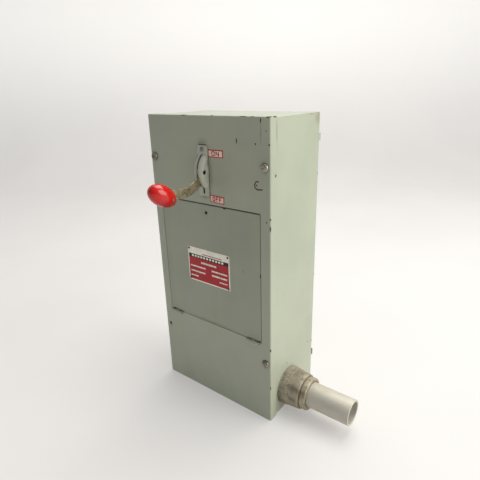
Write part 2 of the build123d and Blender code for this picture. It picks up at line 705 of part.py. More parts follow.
# ---- Door ----
def make_door_panel():
    """Flat door with three back flanges and a small hole near the top."""
    x = (-DOOR_OPEN_X + DOOR_GAP, DOOR_OPEN_X - DOOR_GAP)
    z = (DOOR_OPEN_Z[0] + DOOR_GAP, DOOR_OPEN_Z[1] - DOOR_GAP)
    door = block(x, (FRONT_Y, COVER_BACK_Y + DOOR_FLANGE), z)
    door -= block(
        (x[0] + DOOR_FLANGE_T, x[1] - DOOR_FLANGE_T),
        (COVER_BACK_Y, COVER_BACK_Y + DOOR_FLANGE + 1),
        (z[0] - 1, z[1] - DOOR_FLANGE_T),
    )
    # The side flanges start above the hinges, clear of the cover as the door swings.
    door -= block((-200, 200), (COVER_BACK_Y, 0), (z[0] - 1, z[0] + 14))
    through = (FRONT_Y - 1, COVER_BACK_Y + 1)
    for side in (-1, 1):
        door -= block(hinge_notch(side), through, (z[0] - 1, HINGE_Z + HINGE_R + MOVING))
    return door - rod_y(DOOR_HOLE_R, HANDLE_X, through, DOOR_HOLE_Z)


def hinge_thirds(side):
    """A barrel's three knuckles, as x ranges with hairline gaps."""
    step = (HINGE_X[1] - HINGE_X[0]) / 3
    starts = [HINGE_X[0] + step * i for i in range(3)]
    return [sorted((side * (s + 0.1), side * (s + step - 0.1))) for s in starts]


def make_cover_hinge_leaves():
    """Fixed leaf of each hinge: two outer knuckles, tied behind the cover below the door."""
    leaves = []
    strap_z = (HINGE_Z - HINGE_R + 0.3, HINGE_Z - HINGE_R + 0.3 + HINGE_LEAF_T)
    back = (COVER_BACK_Y, COVER_BACK_Y + HINGE_LEAF_T)
    for side in (-1, 1):
        thirds = hinge_thirds(side)
        whole = sorted((side * HINGE_X[0], side * HINGE_X[1]))
        leaf = block(whole, back, (HINGE_FOOT_Z, strap_z[1]))
        for x in (thirds[0], thirds[2]):
            leaf += rod_x(HINGE_R, x, HINGE_Y, HINGE_Z)
            leaf += block(x, (HINGE_Y, back[1]), strap_z)
        leaves.append(leaf - rod_x(HINGE_PIN_R, (whole[0] - 1, whole[1] + 1), HINGE_Y, HINGE_Z))
    return leaves


def make_door_hinge_leaves():
    """Moving leaf of each hinge: middle knuckle, tied behind the door's lower edge."""
    leaves = []
    strap_z = (HINGE_Z + HINGE_R - 0.3 - HINGE_LEAF_T, HINGE_Z + HINGE_R - 0.3)
    back = (COVER_BACK_Y, COVER_BACK_Y + HINGE_LEAF_T)
    for side in (-1, 1):
        x = hinge_thirds(side)[1]
        leaf = rod_x(HINGE_R, x, HINGE_Y, HINGE_Z) + block(x, (HINGE_Y, back[1]), strap_z)
        leaf += block(x, back, (strap_z[0], DOOR_OPEN_Z[0] + 14))
        wide = sorted((side * HINGE_X[0], side * HINGE_X[1]))
        leaf += block(wide, back, (DOOR_OPEN_Z[0] + 4, DOOR_OPEN_Z[0] + 14))
        leaves.append(leaf - rod_x(HINGE_PIN_R + RUNNING, (x[0] - 1, x[1] + 1), HINGE_Y, HINGE_Z))
    return leaves


def make_hinge_pins():
    """Loose pin of each hinge, as long as its barrel."""
    return [
        rod_x(HINGE_PIN_R, sorted((side * HINGE_X[0], side * HINGE_X[1])), HINGE_Y, HINGE_Z)
        for side in (-1, 1)
    ]


def make_nameplate():
    """Rating plate on the door."""
    plate = block(PLATE_X, (FRONT_Y - PLATE_T, FRONT_Y), PLATE_Z)
    plate = fillet(plate.edges().filter_by(Axis.Y), 2.0)
    for x, z in rivet_places():
        plate -= rod_y(RIVET_R, x, (FRONT_Y - PLATE_T - 1, FRONT_Y + 1), z)
    return plate


def rivet_places():
    """Corner fixings of the rating plate."""
    inset = PLATE_HOLE_INSET
    columns = (PLATE_X[0] + inset, PLATE_X[1] - inset)
    rows = (PLATE_Z[0] + inset, PLATE_Z[1] - inset)
    return [(x, z) for x in columns for z in rows]


def make_nameplate_rivets():
    """Small dome-headed drive rivets."""
    rivets = []
    seat = FRONT_Y - PLATE_T
    for x, z in rivet_places():
        head = rod_y(RIVET_HEAD_R, x, (seat - 1.1, seat), z)
        head = fillet(head.edges().group_by(Axis.Y)[0], 0.9)
        rivets.append(head + rod_y(RIVET_R, x, (seat - 0.1, FRONT_Y), z))
    return rivets


def make_door_strike():
    """Upright tongue behind the door's top edge, on a small foot."""
    door_top = DOOR_OPEN_Z[1] - DOOR_GAP - DOOR_FLANGE_T
    z = (door_top - TONGUE_L, door_top)
    foot = block(catch_x(), (COVER_BACK_Y, COVER_BACK_Y + 1.5), z)
    tongue_x = (CATCH_X - TONGUE_HALF_T, CATCH_X + TONGUE_HALF_T)
    return foot + block(tongue_x, (COVER_BACK_Y, COVER_BACK_Y + CATCH_D), z)


def catch_x():
    """Width of the catch and of the tongue's foot."""
    return (CATCH_X - CATCH_HALF_W, CATCH_X + CATCH_HALF_W)


def make_door_catch():
    """Spring clip behind the cover that grips the door's tongue from both sides."""
    foot_z = (DOOR_OPEN_Z[1] + 3, DOOR_OPEN_Z[1] + 3 + CATCH_FOOT_H)
    shelf_z = (foot_z[0], foot_z[0] + CATCH_LEAF_T)
    back_y = COVER_BACK_Y + CATCH_D
    catch = block(catch_x(), (COVER_BACK_Y, COVER_BACK_Y + 1.5), foot_z)
    catch += block(catch_x(), (COVER_BACK_Y, back_y), shelf_z)
    near = TONGUE_HALF_T + MOVING
    for side in (-1, 1):
        leaf_x = sorted((CATCH_X + side * near, CATCH_X + side * (near + CATCH_LEAF_T)))
        catch += block(leaf_x, (back_y - 8, back_y), (DOOR_OPEN_Z[1] - 14, shelf_z[1]))
    return catch


# ---- Conduit ----
def make_conduit_connector():
    """Connector body: tapered outside, threaded nipple through the box wall, stop inside."""
    wall = BOX_HALF_W
    bore = CONDUIT_R + 0.1
    outline = (
        (NIPPLE_END_X, THROAT_R),
        (NIPPLE_END_X, NIPPLE_R),
        (wall, NIPPLE_R),
        (wall, HUB_BASE_R),
        (wall + 7, HUB_BASE_R),
        (HUB_END_X, HUB_END_R),
        (HUB_END_X, bore),
        (CONDUIT_STOP_X, bore),
        (CONDUIT_STOP_X, THROAT_R),
    )
    return turned_x(outline, 0, CONDUIT_Y, CONDUIT_Z)


def make_conduit_nut():
    """Compression nut round the conduit, with a rounded outer lip."""
    nut = rod_x(NUT_R, (HUB_END_X, NUT_END_X), CONDUIT_Y, CONDUIT_Z)
    nut = fillet(nut.edges().group_by(Axis.X)[-1], 2.6)
    return nut - rod_x(CONDUIT_R + 0.1, (HUB_END_X - 1, NUT_END_X + 1), CONDUIT_Y, CONDUIT_Z)


def make_conduit_locknut():
    """Toothed locknut inside the box wall."""
    inside = BOX_HALF_W - SHEET
    nut = rod_x(LOCKNUT_R, (inside - LOCKNUT_T, inside), CONDUIT_Y, CONDUIT_Z)
    notch = Pos(inside - LOCKNUT_T / 2, 0, LOCKNUT_R) * Box(LOCKNUT_T + 3, 7, 7)
    for i in range(LOCKNUT_NOTCHES):
        nut -= Pos(0, CONDUIT_Y, CONDUIT_Z) * Rot(360 / LOCKNUT_NOTCHES * i, 0, 0) * notch
    return nut - rod_x(NIPPLE_R, (inside - LOCKNUT_T - 1, inside + 1), CONDUIT_Y, CONDUIT_Z)


def make_conduit_bushing():
    """Insulating bushing on the nipple's end."""
    end = NIPPLE_END_X
    outline = (
        (end - 5, THROAT_R),
        (end - 5, 27.0),
        (end + 6, 28.4),
        (end + 6, NIPPLE_R),
        (end, NIPPLE_R),
        (end, THROAT_R),
    )
    return turned_x(outline, 0, CONDUIT_Y, CONDUIT_Z)


def make_conduit():
    """Stub of conduit, cut square; its end in the connector is drawn down a little."""
    inner_r = CONDUIT_R - CONDUIT_WALL
    outline = (
        (CONDUIT_STOP_X, inner_r),
        (CONDUIT_STOP_X, CONDUIT_SEAT_R),
        (NUT_END_X, CONDUIT_SEAT_R),
        (NUT_END_X, CONDUIT_R),
        (CONDUIT_END_X, CONDUIT_R),
        (CONDUIT_END_X, inner_r),
    )
    return turned_x(outline, 0, CONDUIT_Y, CONDUIT_Z)


# ---- Ground lug ----
def make_ground_lug():
    """Small aluminium lug on the back sheet."""
    x = (GROUND_X - GROUND_HALF_W, GROUND_X + GROUND_HALF_W)
    z = (GROUND_Z - GROUND_HALF_H, GROUND_Z + GROUND_HALF_H)
    bore_y = INSIDE_BACK_Y - 7
    lug = block(x, (INSIDE_BACK_Y - GROUND_D, INSIDE_BACK_Y), z)
    lug -= rod_z(GROUND_BORE_R, GROUND_X, bore_y, (z[0] - 1, z[1] + 1))
    return lug - rod_y(GROUND_SCREW_R, GROUND_X, (INSIDE_BACK_Y - GROUND_D - 1, bore_y), GROUND_Z)


def make_ground_lug_screw():
    """Its set screw, backed out clear of the bore."""
    span = (INSIDE_BACK_Y - GROUND_D - 4, INSIDE_BACK_Y - GROUND_D + 3.3)
    return rod_y(GROUND_SCREW_R, GROUND_X, span, GROUND_Z)


def export(name, solids):
    """Writes one node, with the origin at the wall bolts' centre."""
    items = solids if isinstance(solids, list) else [solids]
    placed = [Pos(0, 0, -ORIGIN_Z) * item for item in items]
    shape = Compound(children=placed) if len(placed) > 1 else placed[0]
    export_step(shape, f"parts/{name}.step")


def main():
    os.makedirs("parts", exist_ok=True)
    lever = make_handle_lever()
    knob_pin = make_knob_pin()
    lever -= knob_pin
    blades = make_switch_blades()
    crossbar = make_crossbar(blades)
    nodes = {
        "back_box": make_back_box(),
        "mounting_rails": make_mounting_rails(),
        "front_cover": make_front_cover(),
        "cover_screws": make_cover_screws(),
        "cover_nuts": make_cover_nuts(),
        "handle_guard": make_handle_guard(),
        "guard_screw": make_guard_screw(),
        "mechanism_frame": make_mechanism_frame(),
        "shaft_bracket": make_shaft_bracket(),
        "on_label": make_label(*ON_LABEL, 0),
        "off_label": make_label(*OFF_LABEL, OFF_TILT),
        "handle_lever": lever,
        "handle_knob": make_handle_knob(lever, knob_pin),
        "knob_pin": knob_pin,
        "handle_shaft": make_handle_shaft(),
        "handle_crank": make_handle_crank(),
        "handle_crank_pin": make_crank_pin(*crank_pin_place(PIVOT_Y, PIVOT_Z)),
        "handle_spring": make_handle_spring(),
        "drive_link": make_drive_link(),
        "switch_blades": blades,
        "blade_pins": make_blade_pins(),
        "crossbar": crossbar,
        "rotor_crank": make_rotor_crank(crossbar),
        "rotor_crank_pin": make_crank_pin(*crank_pin_place(ROTOR_Y, ROTOR_Z)),
        "switch_base": make_base(SWITCH_BASE_Z),
        "fuse_base": make_base(FUSE_BASE_Z),
        "base_standoffs": make_base_standoffs(),
        "base_screws": make_base_screws(),
        "phase_barriers": make_phase_barriers(),
        "line_jaws": make_line_jaws(),
        "line_lugs": make_lugs(LINE_LUG_Z),
        "line_lug_screws": [lug_screw(pole, LINE_LUG_Z) for pole in POLE_X],
        "hinge_contacts": make_hinge_contacts(),
        "lower_fuse_clips": make_lower_fuse_clips(),
        "load_lugs": make_lugs(LOAD_LUG_Z),
        "load_lug_screws": [lug_screw(pole, LOAD_LUG_Z) for pole in POLE_X],
        "door_panel": make_door_panel(),
        "door_hinge_leaves": make_door_hinge_leaves(),
        "cover_hinge_leaves": make_cover_hinge_leaves(),
        "hinge_pins": make_hinge_pins(),
        "nameplate": make_nameplate(),
        "nameplate_rivets": make_nameplate_rivets(),
        "door_strike": make_door_strike(),
        "door_catch": make_door_catch(),
        "conduit_connector": make_conduit_connector(),
        "conduit_nut": make_conduit_nut(),
        "conduit_locknut": make_conduit_locknut(),
        "conduit_bushing": make_conduit_bushing(),
        "conduit": make_conduit(),
        "ground_lug": make_ground_lug(),
        "ground_lug_screw": make_ground_lug_screw(),
    }
    for pole, side in zip(POLE_X, POLE_NAMES):
        tube = make_fuse_tube(pole)
        nodes[f"fuse_tube_{side}"] = tube
        nodes[f"fuse_ends_{side}"] = make_fuse_ends(pole, tube)
    for name, solids in nodes.items():
        export(name, solids)


main()
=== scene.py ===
"""Looks of the fused disconnect switch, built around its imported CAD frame. Metres, row frame."""
import json
import math
import random

import bmesh
import bpy
from mathutils import Matrix, Vector


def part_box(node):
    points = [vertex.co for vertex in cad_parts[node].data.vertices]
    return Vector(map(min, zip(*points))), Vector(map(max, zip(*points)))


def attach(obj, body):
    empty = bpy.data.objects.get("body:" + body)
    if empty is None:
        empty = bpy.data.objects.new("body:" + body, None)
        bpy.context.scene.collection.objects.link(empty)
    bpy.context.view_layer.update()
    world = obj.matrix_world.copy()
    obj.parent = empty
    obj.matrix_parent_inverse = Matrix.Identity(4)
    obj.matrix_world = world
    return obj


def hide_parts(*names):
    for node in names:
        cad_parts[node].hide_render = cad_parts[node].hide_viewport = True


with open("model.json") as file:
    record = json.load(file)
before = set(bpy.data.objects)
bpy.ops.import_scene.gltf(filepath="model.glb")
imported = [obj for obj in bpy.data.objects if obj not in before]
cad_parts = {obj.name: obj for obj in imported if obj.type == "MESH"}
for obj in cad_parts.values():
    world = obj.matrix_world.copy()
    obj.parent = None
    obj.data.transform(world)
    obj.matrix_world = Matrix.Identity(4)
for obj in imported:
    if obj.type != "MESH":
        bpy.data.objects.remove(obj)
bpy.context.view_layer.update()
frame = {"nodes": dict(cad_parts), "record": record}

random.seed(7)
MM = 0.001

COVER_LOW, COVER_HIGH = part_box("front_cover")
BOX_LOW, BOX_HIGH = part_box("back_box")
FRONT_Y = COVER_LOW.y
BOTTOM_Z = BOX_LOW.z
HALF_W = COVER_HIGH.x / MM
HEIGHT = (COVER_HIGH.z - BOTTOM_Z) / MM
DEPTH = (BOX_HIGH.y - FRONT_Y) / MM
SCREW_X = 125.0
HANDLE_X = -3.0
PIVOT = (19.6, 469.0)
VIEW_YAW = math.radians(38.27)


def at(x, behind, up):
    """Point from millimetres: right of the middle, behind the cover's face, above the bottom."""
    return Vector((x * MM, FRONT_Y + behind * MM, BOTTOM_Z + up * MM))


# ---- Camera, lights and floor ----
# Sockets of a colour mix: its two inputs and its result.
MIX_A, MIX_B, MIX_RESULT = 6, 7, 2
# Radius of the floor's bend up into the backdrop, in metres.
BEND = 1.2


def make_camera():
    """View from the front right, a little above the switch and looking down at it."""
    pitch, roll = math.radians(20.0), math.radians(-1.59)
    eye, focal_length, sensor_width = at(491.8, -531.1, 603.6), 31.47, 36.0
    ahead = Vector((-math.sin(VIEW_YAW), math.cos(VIEW_YAW), 0.0))
    forward = ahead * math.cos(pitch) + Vector((0.0, 0.0, -math.sin(pitch)))
    level = Vector((math.cos(VIEW_YAW), math.sin(VIEW_YAW), 0.0))
    upright = level.cross(forward)
    right = level * math.cos(roll) + upright * math.sin(roll)
    up = upright * math.cos(roll) - level * math.sin(roll)
    data = bpy.data.cameras.new("camera")
    data.sensor_width = sensor_width
    data.lens = focal_length
    camera = bpy.data.objects.new("camera", data)
    turn = Matrix((right, up, -forward)).transposed()
    camera.matrix_world = Matrix.Translation(eye) @ turn.to_4x4()
    bpy.context.scene.collection.objects.link(camera)
    bpy.context.scene.camera = camera


def area_light(name, place, target, size, watts, colour=(1.0, 1.0, 1.0)):
    """Square soft box aimed at a point."""
    data = bpy.data.lights.new(name, "AREA")
    data.size = size
    data.energy = watts
    data.color = colour
    light = bpy.data.objects.new(name, data)
    aim = (target - place).to_track_quat("-Z", "Y").to_matrix().to_4x4()
    light.matrix_world = Matrix.Translation(place) @ aim
    bpy.context.scene.collection.objects.link(light)


def make_lights():
    """Soft key light from the right and a soft light from above."""
    middle = at(0, DEPTH / 2, HEIGHT / 2)
    area_light("key", Vector((2.6, 0.5, 1.1)), middle, 2.2, 62.0, (1.0, 0.985, 0.95))
    area_light("top", Vector((0.1, 0.6, 1.9)), middle, 1.6, 36.0, (1.0, 0.985, 0.97))


def make_room():
    """Dim cool light in front of the object, brighter and warmer light behind it."""
    world = bpy.data.worlds.new("room")
    world.use_nodes = True
    nodes, links = world.node_tree.nodes, world.node_tree.links
    background = nodes["Background"]
    tint = nodes.new("ShaderNodeMix")
    tint.data_type = "RGBA"
    tint.inputs[MIX_A].default_value = (0.80, 0.84, 0.92, 1.0)
    tint.inputs[MIX_B].default_value = (0.86, 0.85, 0.83, 1.0)
    links.new(tint.outputs[MIX_RESULT], background.inputs["Color"])
    way = nodes.new("ShaderNodeTexCoord").outputs["Generated"]
    behind = nodes.new("ShaderNodeVectorMath")
    behind.operation = "DOT_PRODUCT"
    links.new(way, behind.inputs[0])
    behind.inputs[1].default_value = (0.35, 0.9, 0.25)
    glow = nodes.new("ShaderNodeMapRange")
    links.new(behind.outputs["Value"], glow.inputs["Value"])
    ranges = {"From Min": -0.8, "From Max": 0.6, "To Min": 0.235, "To Max": 0.75}
    for socket, value in ranges.items():
        glow.inputs[socket].default_value = value
    links.new(glow.outputs[0], background.inputs["Strength"])
    links.new(glow.outputs[0], tint.inputs[0])
    bpy.context.scene.world = world
    bpy.context.scene.view_settings.view_transform = "Standard"


def make_floor():
    """Pale table that curves up into a backdrop, square to the view."""
    front, back, tall, half_width, steps = -6.0, 1.6, 6.0, 8.0, 24
    outline = [(front, BOTTOM_Z), (back, BOTTOM_Z)]
    for i in range(1, steps + 1):
        angle = math.pi / 2 * i / steps
        outline.append((back + BEND * math.sin(angle), BOTTOM_Z + BEND * (1 - math.cos(angle))))
    outline.append((back + BEND, BOTTOM_Z + tall))
    turn = Matrix.Rotation(VIEW_YAW, 4, "Z")
    mesh = bmesh.new()
    rows = []
    for x in (-half_width, half_width):
        rows.append([mesh.verts.new(turn @ Vector((x, y, z))) for y, z in outline])
    for i in range(len(outline) - 1):
        mesh.faces.new((rows[0][i], rows[1][i], rows[1][i + 1], rows[0][i + 1]))
    data = bpy.data.meshes.new("floor")
    mesh.to_mesh(data)
    mesh.free()
    data.shade_smooth()
    data.materials.append(floor_paint())
    floor = bpy.data.objects.new("floor", data)
    bpy.context.scene.collection.objects.link(floor)


def floor_paint():
    """Matt off-white, paler up the backdrop, with a faint glow that evens out the light."""
    s = Shader("floor_paint")
    tint = s.mix(s.step(s.noise(1.7, 3.0), 0.3, 0.7), srgb(184, 181, 178), srgb(179, 176, 173))
    wall = s.step(s.height(), BOTTOM_Z, BOTTOM_Z + BEND)
    tint = s.mix(wall, tint, srgb(238, 236, 232))
    glow = {"Emission_Color": (1.0, 0.985, 0.96, 1.0), "Emission_Strength": s.scaled(wall, 0.29, 0.31)}
    return s.surface(tint, 0.62, **glow)


# ---- Shader building ----
def srgb(red, green, blue):
    """Linear colour from display values of 0 to 255."""
    def linear(value):
        value /= 255
        return value / 12.92 if value <= 0.04045 else ((value + 0.055) / 1.055) ** 2.4
    return (linear(red), linear(green), linear(blue))


class Shader:
    """Node tree of one material. Each method adds nodes and returns the output to use next."""

    def __init__(self, name):
        self.material = bpy.data.materials.new(name)
        self.material.use_nodes = True
        self.tree = self.material.node_tree
        self.tree.nodes.clear()
        self.place = self.add("ShaderNodeTexCoord").outputs["Object"]

    def add(self, kind, values=None, **settings):
        """New node with its input sockets and its settings."""
        node = self.tree.nodes.new(kind)
        for name, value in settings.items():
            setattr(node, name, value)
        for socket, value in (values or {}).items():
            self.put(node.inputs[socket], value)
        return node

    def put(self, socket, value):
        """Links an output to a socket, or sets the socket to a constant."""
        if isinstance(value, bpy.types.NodeSocket):
            self.tree.links.new(value, socket)
        elif socket.type == "RGBA" and len(value) == 3:
            socket.default_value = (*value, 1.0)
        else:
            socket.default_value = value

    def math(self, operation, a, b=0.0):
        return self.add("ShaderNodeMath", {0: a, 1: b}, operation=operation).outputs[0]

    def vector(self, operation, a, b=(0.0, 0.0, 0.0)):
        node = self.add("ShaderNodeVectorMath", {0: a, 1: b}, operation=operation)
        return node.outputs["Value" if operation in ("DOT_PRODUCT", "LENGTH", "DISTANCE") else "Vector"]

    def noise(self, scale, detail=4.0, roughness=0.55, place=None, distortion=0.0):
        values = {"Vector": place or self.place, "Scale": scale, "Detail": detail}
        values.update({"Roughness": roughness, "Distortion": distortion})
        return self.add("ShaderNodeTexNoise", values).outputs[0]

    def height(self):
        """Z of the place on the object."""
        return self.add("ShaderNodeSeparateXYZ", {0: self.place}).outputs["Z"]

    def stretched(self, x, y, z):
        """Place scaled along each axis; a small factor draws a pattern out along it."""
        return self.vector("MULTIPLY", self.place, (x, y, z))

    def step(self, value, low, high):
        """0 below low, 1 above high and smooth between."""
        values = {"Value": value, "From Min": low, "From Max": high}
        return self.add("ShaderNodeMapRange", values, interpolation_type="SMOOTHSTEP").outputs[0]

    def scaled(self, value, low, high):
        """0..1 to low..high."""
        values = {"Value": value, "To Min": low, "To Max": high}
        return self.add("ShaderNodeMapRange", values).outputs[0]

    def mix(self, factor, a, b):
        """Colour a at a factor of 0, colour b at 1."""
        values = {0: factor, MIX_A: a, MIX_B: b}
        return self.add("ShaderNodeMix", values, data_type="RGBA").outputs[MIX_RESULT]

    def either(self, *masks):
        """Largest of several masks."""
        total = masks[0]
        for mask in masks[1:]:
            total = self.math("MAXIMUM", total, mask)
        return total

    def edge(self, radius, low=0.03, high=0.16):
        """1 along the sharp edges of the mesh, within a radius."""
        round_normal = self.rounded(radius)
        true_normal = self.add("ShaderNodeNewGeometry").outputs["Normal"]
        same = self.vector("DOT_PRODUCT", round_normal, true_normal)
        return self.step(self.math("SUBTRACT", 1.0, same), low, high)

    def spot(self, centre, radii, ragged, soft=0.25):
        """Blot round a point, given by its reach along each axis, with a ragged rim."""
        offset = self.vector("SUBTRACT", self.place, tuple(centre))
        reach = self.vector("LENGTH", self.vector("DIVIDE", offset, tuple(r * MM for r in radii)))
        wobble = self.scaled(ragged, -0.75, 0.75)
        return self.math("SUBTRACT", 1.0, self.step(self.math("ADD", reach, wobble), 1.0 - soft, 1.0))

    def line(self, start, end, width, ragged):
        """Thin scratch from one point to another."""
        run = end - start
        offset = self.vector("SUBTRACT", self.place, tuple(start))
        along = self.vector("DOT_PRODUCT", offset, tuple(run))
        along = self.math("DIVIDE", along, run.length_squared)
        along = self.math("MINIMUM", self.math("MAXIMUM", along, 0.0), 1.0)
        values = {0: tuple(run), "Scale": along}
        nearest = self.add("ShaderNodeVectorMath", values, operation="SCALE").outputs["Vector"]
        away = self.vector("LENGTH", self.vector("SUBTRACT", offset, nearest))
        reach = self.math("DIVIDE", away, width * MM)
        wobble = self.scaled(ragged, -0.7, 0.7)
        return self.math("SUBTRACT", 1.0, self.step(self.math("ADD", reach, wobble), 0.6, 1.0))

    def bump(self, height, depth, normal=None):
        """Normal tilted by a height of 0..1, whose full depth is in metres."""
        values = {"Height": height, "Distance": depth, "Strength": 1.0}
        if normal is not None:
            values["Normal"] = normal
        return self.add("ShaderNodeBump", values).outputs[0]

    def rounded(self, radius):
        """Normal that softens sharp edges."""
        return self.add("ShaderNodeBevel", {"Radius": radius}, samples=6).outputs[0]

    def surface(self, colour, roughness, metallic=0.0, normal=None, **others):
        """Principled surface with any other sockets by name; returns the finished material."""
        shader = self.add("ShaderNodeBsdfPrincipled")
        self.put(shader.inputs["Base Color"], colour)
        self.put(shader.inputs["Roughness"], roughness)
        self.put(shader.inputs["Metallic"], metallic)
        if normal is not None:
            self.put(shader.inputs["Normal"], normal)
        for name, value in others.items():
            self.put(shader.inputs[name.replace("_", " ")], value)
        out = self.add("ShaderNodeOutputMaterial")
        self.tree.links.new(shader.outputs[0], out.inputs["Surface"])
        return self.material


# ---- Meshes ----
def eased(points, radius, closed=False):
    """Outline with each corner replaced by a short curve."""
    longest = 0.45  # greatest share of a side that a curve takes up
    result = []
    count = len(points)
    for i, point in enumerate(points):
        if not closed and i in (0, count - 1):
            result.append(point)
            continue
        before, corner, after = (Vector(points[j % count]) for j in (i - 1, i, i + 1))
        cut_before = min(radius, (before - corner).length * longest)
        cut_after = min(radius, (after - corner).length * longest)
        start = corner + (before - corner).normalized() * cut_before
        end = corner + (after - corner).normalized() * cut_after
        for t in (0.0, 0.25, 0.5, 0.75, 1.0):
            curve = start * (1 - t) ** 2 + corner * 2 * t * (1 - t) + end * t ** 2
            result.append(tuple(curve))
    return result


def skin(mesh, rings, closed, material=0):
    """Faces between rings of vertices. A ring of one vertex makes a pole."""
    sides = max(len(ring) for ring in rings)
    pairs = list(zip(rings, rings[1:]))
    if closed:
        pairs.append((rings[-1], rings[0]))
    for a, b in pairs:
        for i in range(sides):
            j = (i + 1) % sides
            corners = [a[i % len(a)], a[j % len(a)], b[j % len(b)], b[i % len(b)]]
            face = mesh.faces.new(list(dict.fromkeys(corners)))
            face.material_index = material


def lathe(mesh, profile, place, sides, closed=False, ripple=None):
    """Skin turned about local x, from (along, radius) points in millimetres.

    A ripple gives what is added to the radius at a distance along and an angle."""
    rings = []
    for along, radius in profile:
        ring = []
        for i in range(sides if radius > 0 else 1):
            angle = 2 * math.pi * i / sides
            reach = radius + (ripple(along, angle) if ripple and radius > 0 else 0.0)
            point = Vector((along, reach * math.cos(angle), reach * math.sin(angle)))
            ring.append(mesh.verts.new(place @ point))
        rings.append(ring)
    skin(mesh, rings, closed)


def sweep(mesh, section, stations):
    """Skin through copies of a closed section; a station turns (u, v) into a point."""
    rings = [[mesh.verts.new(station(u, v)) for u, v in section] for station in stations]
    skin(mesh, rings, False)
    for ring in (rings[0], rings[-1]):
        mesh.faces.new(ring)


def centre(outline):
    """Mean of an outline's points."""
    return sum((Vector(point) for point in outline), Vector((0, 0))) / len(outline)


def slab(mesh, outline, front, back, ease=0.12, material=0):
    """Thin plate with an eased front rim, from (x, up) points; negative depths stand proud."""
    middle = centre(outline)
    rim = ((back, 0.0), (front + ease, 0.0), (front + ease * 0.3, ease * 0.3), (front, ease))
    rings = []
    for depth, inset in rim:
        ring = []
        for point in outline:
            away = Vector(point) - middle
            moved = Vector(point) - away.normalized() * inset
            ring.append(mesh.verts.new(at(moved.x, depth, moved.y)))
        rings.append(ring)
    skin(mesh, rings, False, material)
    mesh.faces.new(rings[-1]).material_index = material


def rectangle(x, up, corner):
    """Outline of a rounded rectangle as (x, up) points."""
    corners = [(x[0], up[0]), (x[1], up[0]), (x[1], up[1]), (x[0], up[1])]
    return eased(corners, corner, closed=True)


def tilted(outline, degrees):
    """Outline turned about its middle, as (x, up) points."""
    middle = centre(outline)
    turn = Matrix.Rotation(math.radians(-degrees), 2)
    return [tuple(middle + turn @ (Vector(point) - middle)) for point in outline]


def make_piece(mesh, name, body, materials, nodes, sharp=38.0):
    """Ends a mesh: one object that rides a body in place of its CAD nodes."""
    bmesh.ops.recalc_face_normals(mesh, faces=mesh.faces)
    data = bpy.data.meshes.new(name)
    mesh.to_mesh(data)
    mesh.free()
    data.shade_smooth()
    data.set_sharp_from_angle(angle=math.radians(sharp))
    for material in materials:
        data.materials.append(material)
    piece = bpy.data.objects.new(name, data)
    bpy.context.scene.collection.objects.link(piece)
    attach(piece, body)
    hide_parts(*nodes)


# ---- Handle ----
def make_knob():
    """Egg-shaped knob, with a small countersink where each end of its pin shows."""
    half, radius, egg, neck = 29.0, 17.4, 0.06, math.radians(16.0)
    behind, up, tilt = -98.2, 445.4, math.radians(-33.0)
    pin_along, pin_radius, pin_low = -10.4, 15.4, 0.9
    sink_depth, sink_radius, sink_slope = 1.1, 3.1, 0.7
    steps = 110
    profile = [(half, 0.0)]
    for i in range(1, steps + 1):
        angle = (math.pi - neck) * i / steps
        along = math.cos(angle)
        profile.append((half * along, radius * math.sin(angle) * (1 + egg * along - egg / 2)))
    profile.append((profile[-1][0] - 0.3, profile[-1][1] * 0.8))
    profile.append((profile[-1][0], 0.0))

    def ripple(along, angle):
        near = math.hypot(along - pin_along, pin_radius * math.sin(angle) + pin_low)
        sink = -sink_depth * min(1.0, max(0.0, sink_radius - near) / sink_slope)
        return sink + 0.05 * math.sin(3 * angle + 0.14 * along) + 0.04 * math.sin(0.33 * along)

    place = Matrix.Translation(at(HANDLE_X, behind, up)) @ Matrix.Rotation(tilt, 4, "X")
    place = place @ Matrix.Rotation(math.radians(-90.0), 4, "Z")
    mesh = bmesh.new()
    lathe(mesh, profile, place @ Matrix.Scale(MM, 4), 200, ripple=ripple)
    material = [MATERIALS["red_knob"]]
    make_piece(mesh, "knob_egg", "handle", material, ["handle_knob"], 60.0)


def lever_line():
    """Middle line of the lever from its pivot to the knob, as (behind, up) points."""
    root, knee, end = Vector(PIVOT), Vector((-38.5, 440.0)), Vector((-80.0, 441.8))
    bend, straight_steps, bend_steps = 15.5, 8, 12
    start = knee + (root - knee).normalized() * bend
    stop = knee + (end - knee).normalized() * bend
    line = [root + (start - root) * i / straight_steps for i in range(straight_steps)]
    for i in range(bend_steps + 1):
        t = i / bend_steps
        line.append(start * (1 - t) ** 2 + knee * 2 * t * (1 - t) + stop * t ** 2)
    return line + [stop + (end - stop) * i / straight_steps for i in range(1, straight_steps + 1)]


def make_lever():
    """Flat bent bar with eased edges, and the round hub that it swings on."""
    half_w, half_t, hub_radius = 8.5, 1.6, 13.0
    section = rectangle((-half_w, half_w), (-half_t, half_t), 1.0)
    line = lever_line()
    stations = []
    for i, point in enumerate(line):
        run = line[min(i + 1, len(line) - 1)] - line[max(i - 1, 0)]
        across = Vector((-run.y, run.x)).normalized()

        def station(u, v, point=point, across=across):
            place = point + across * u
            return at(HANDLE_X + v, place.x, place.y)
        stations.append(station)
    mesh = bmesh.new()
    sweep(mesh, section, stations)
    hub = eased([(-half_t, 0.0), (-half_t, hub_radius), (half_t, hub_radius), (half_t, 0.0)], 0.6)
    lathe(mesh, hub, Matrix.Translation(at(HANDLE_X, *PIVOT)) @ Matrix.Scale(MM, 4), 64)
    material = [MATERIALS["lever_steel"]]
    make_piece(mesh, "lever_bar", "handle", material, ["handle_lever"])


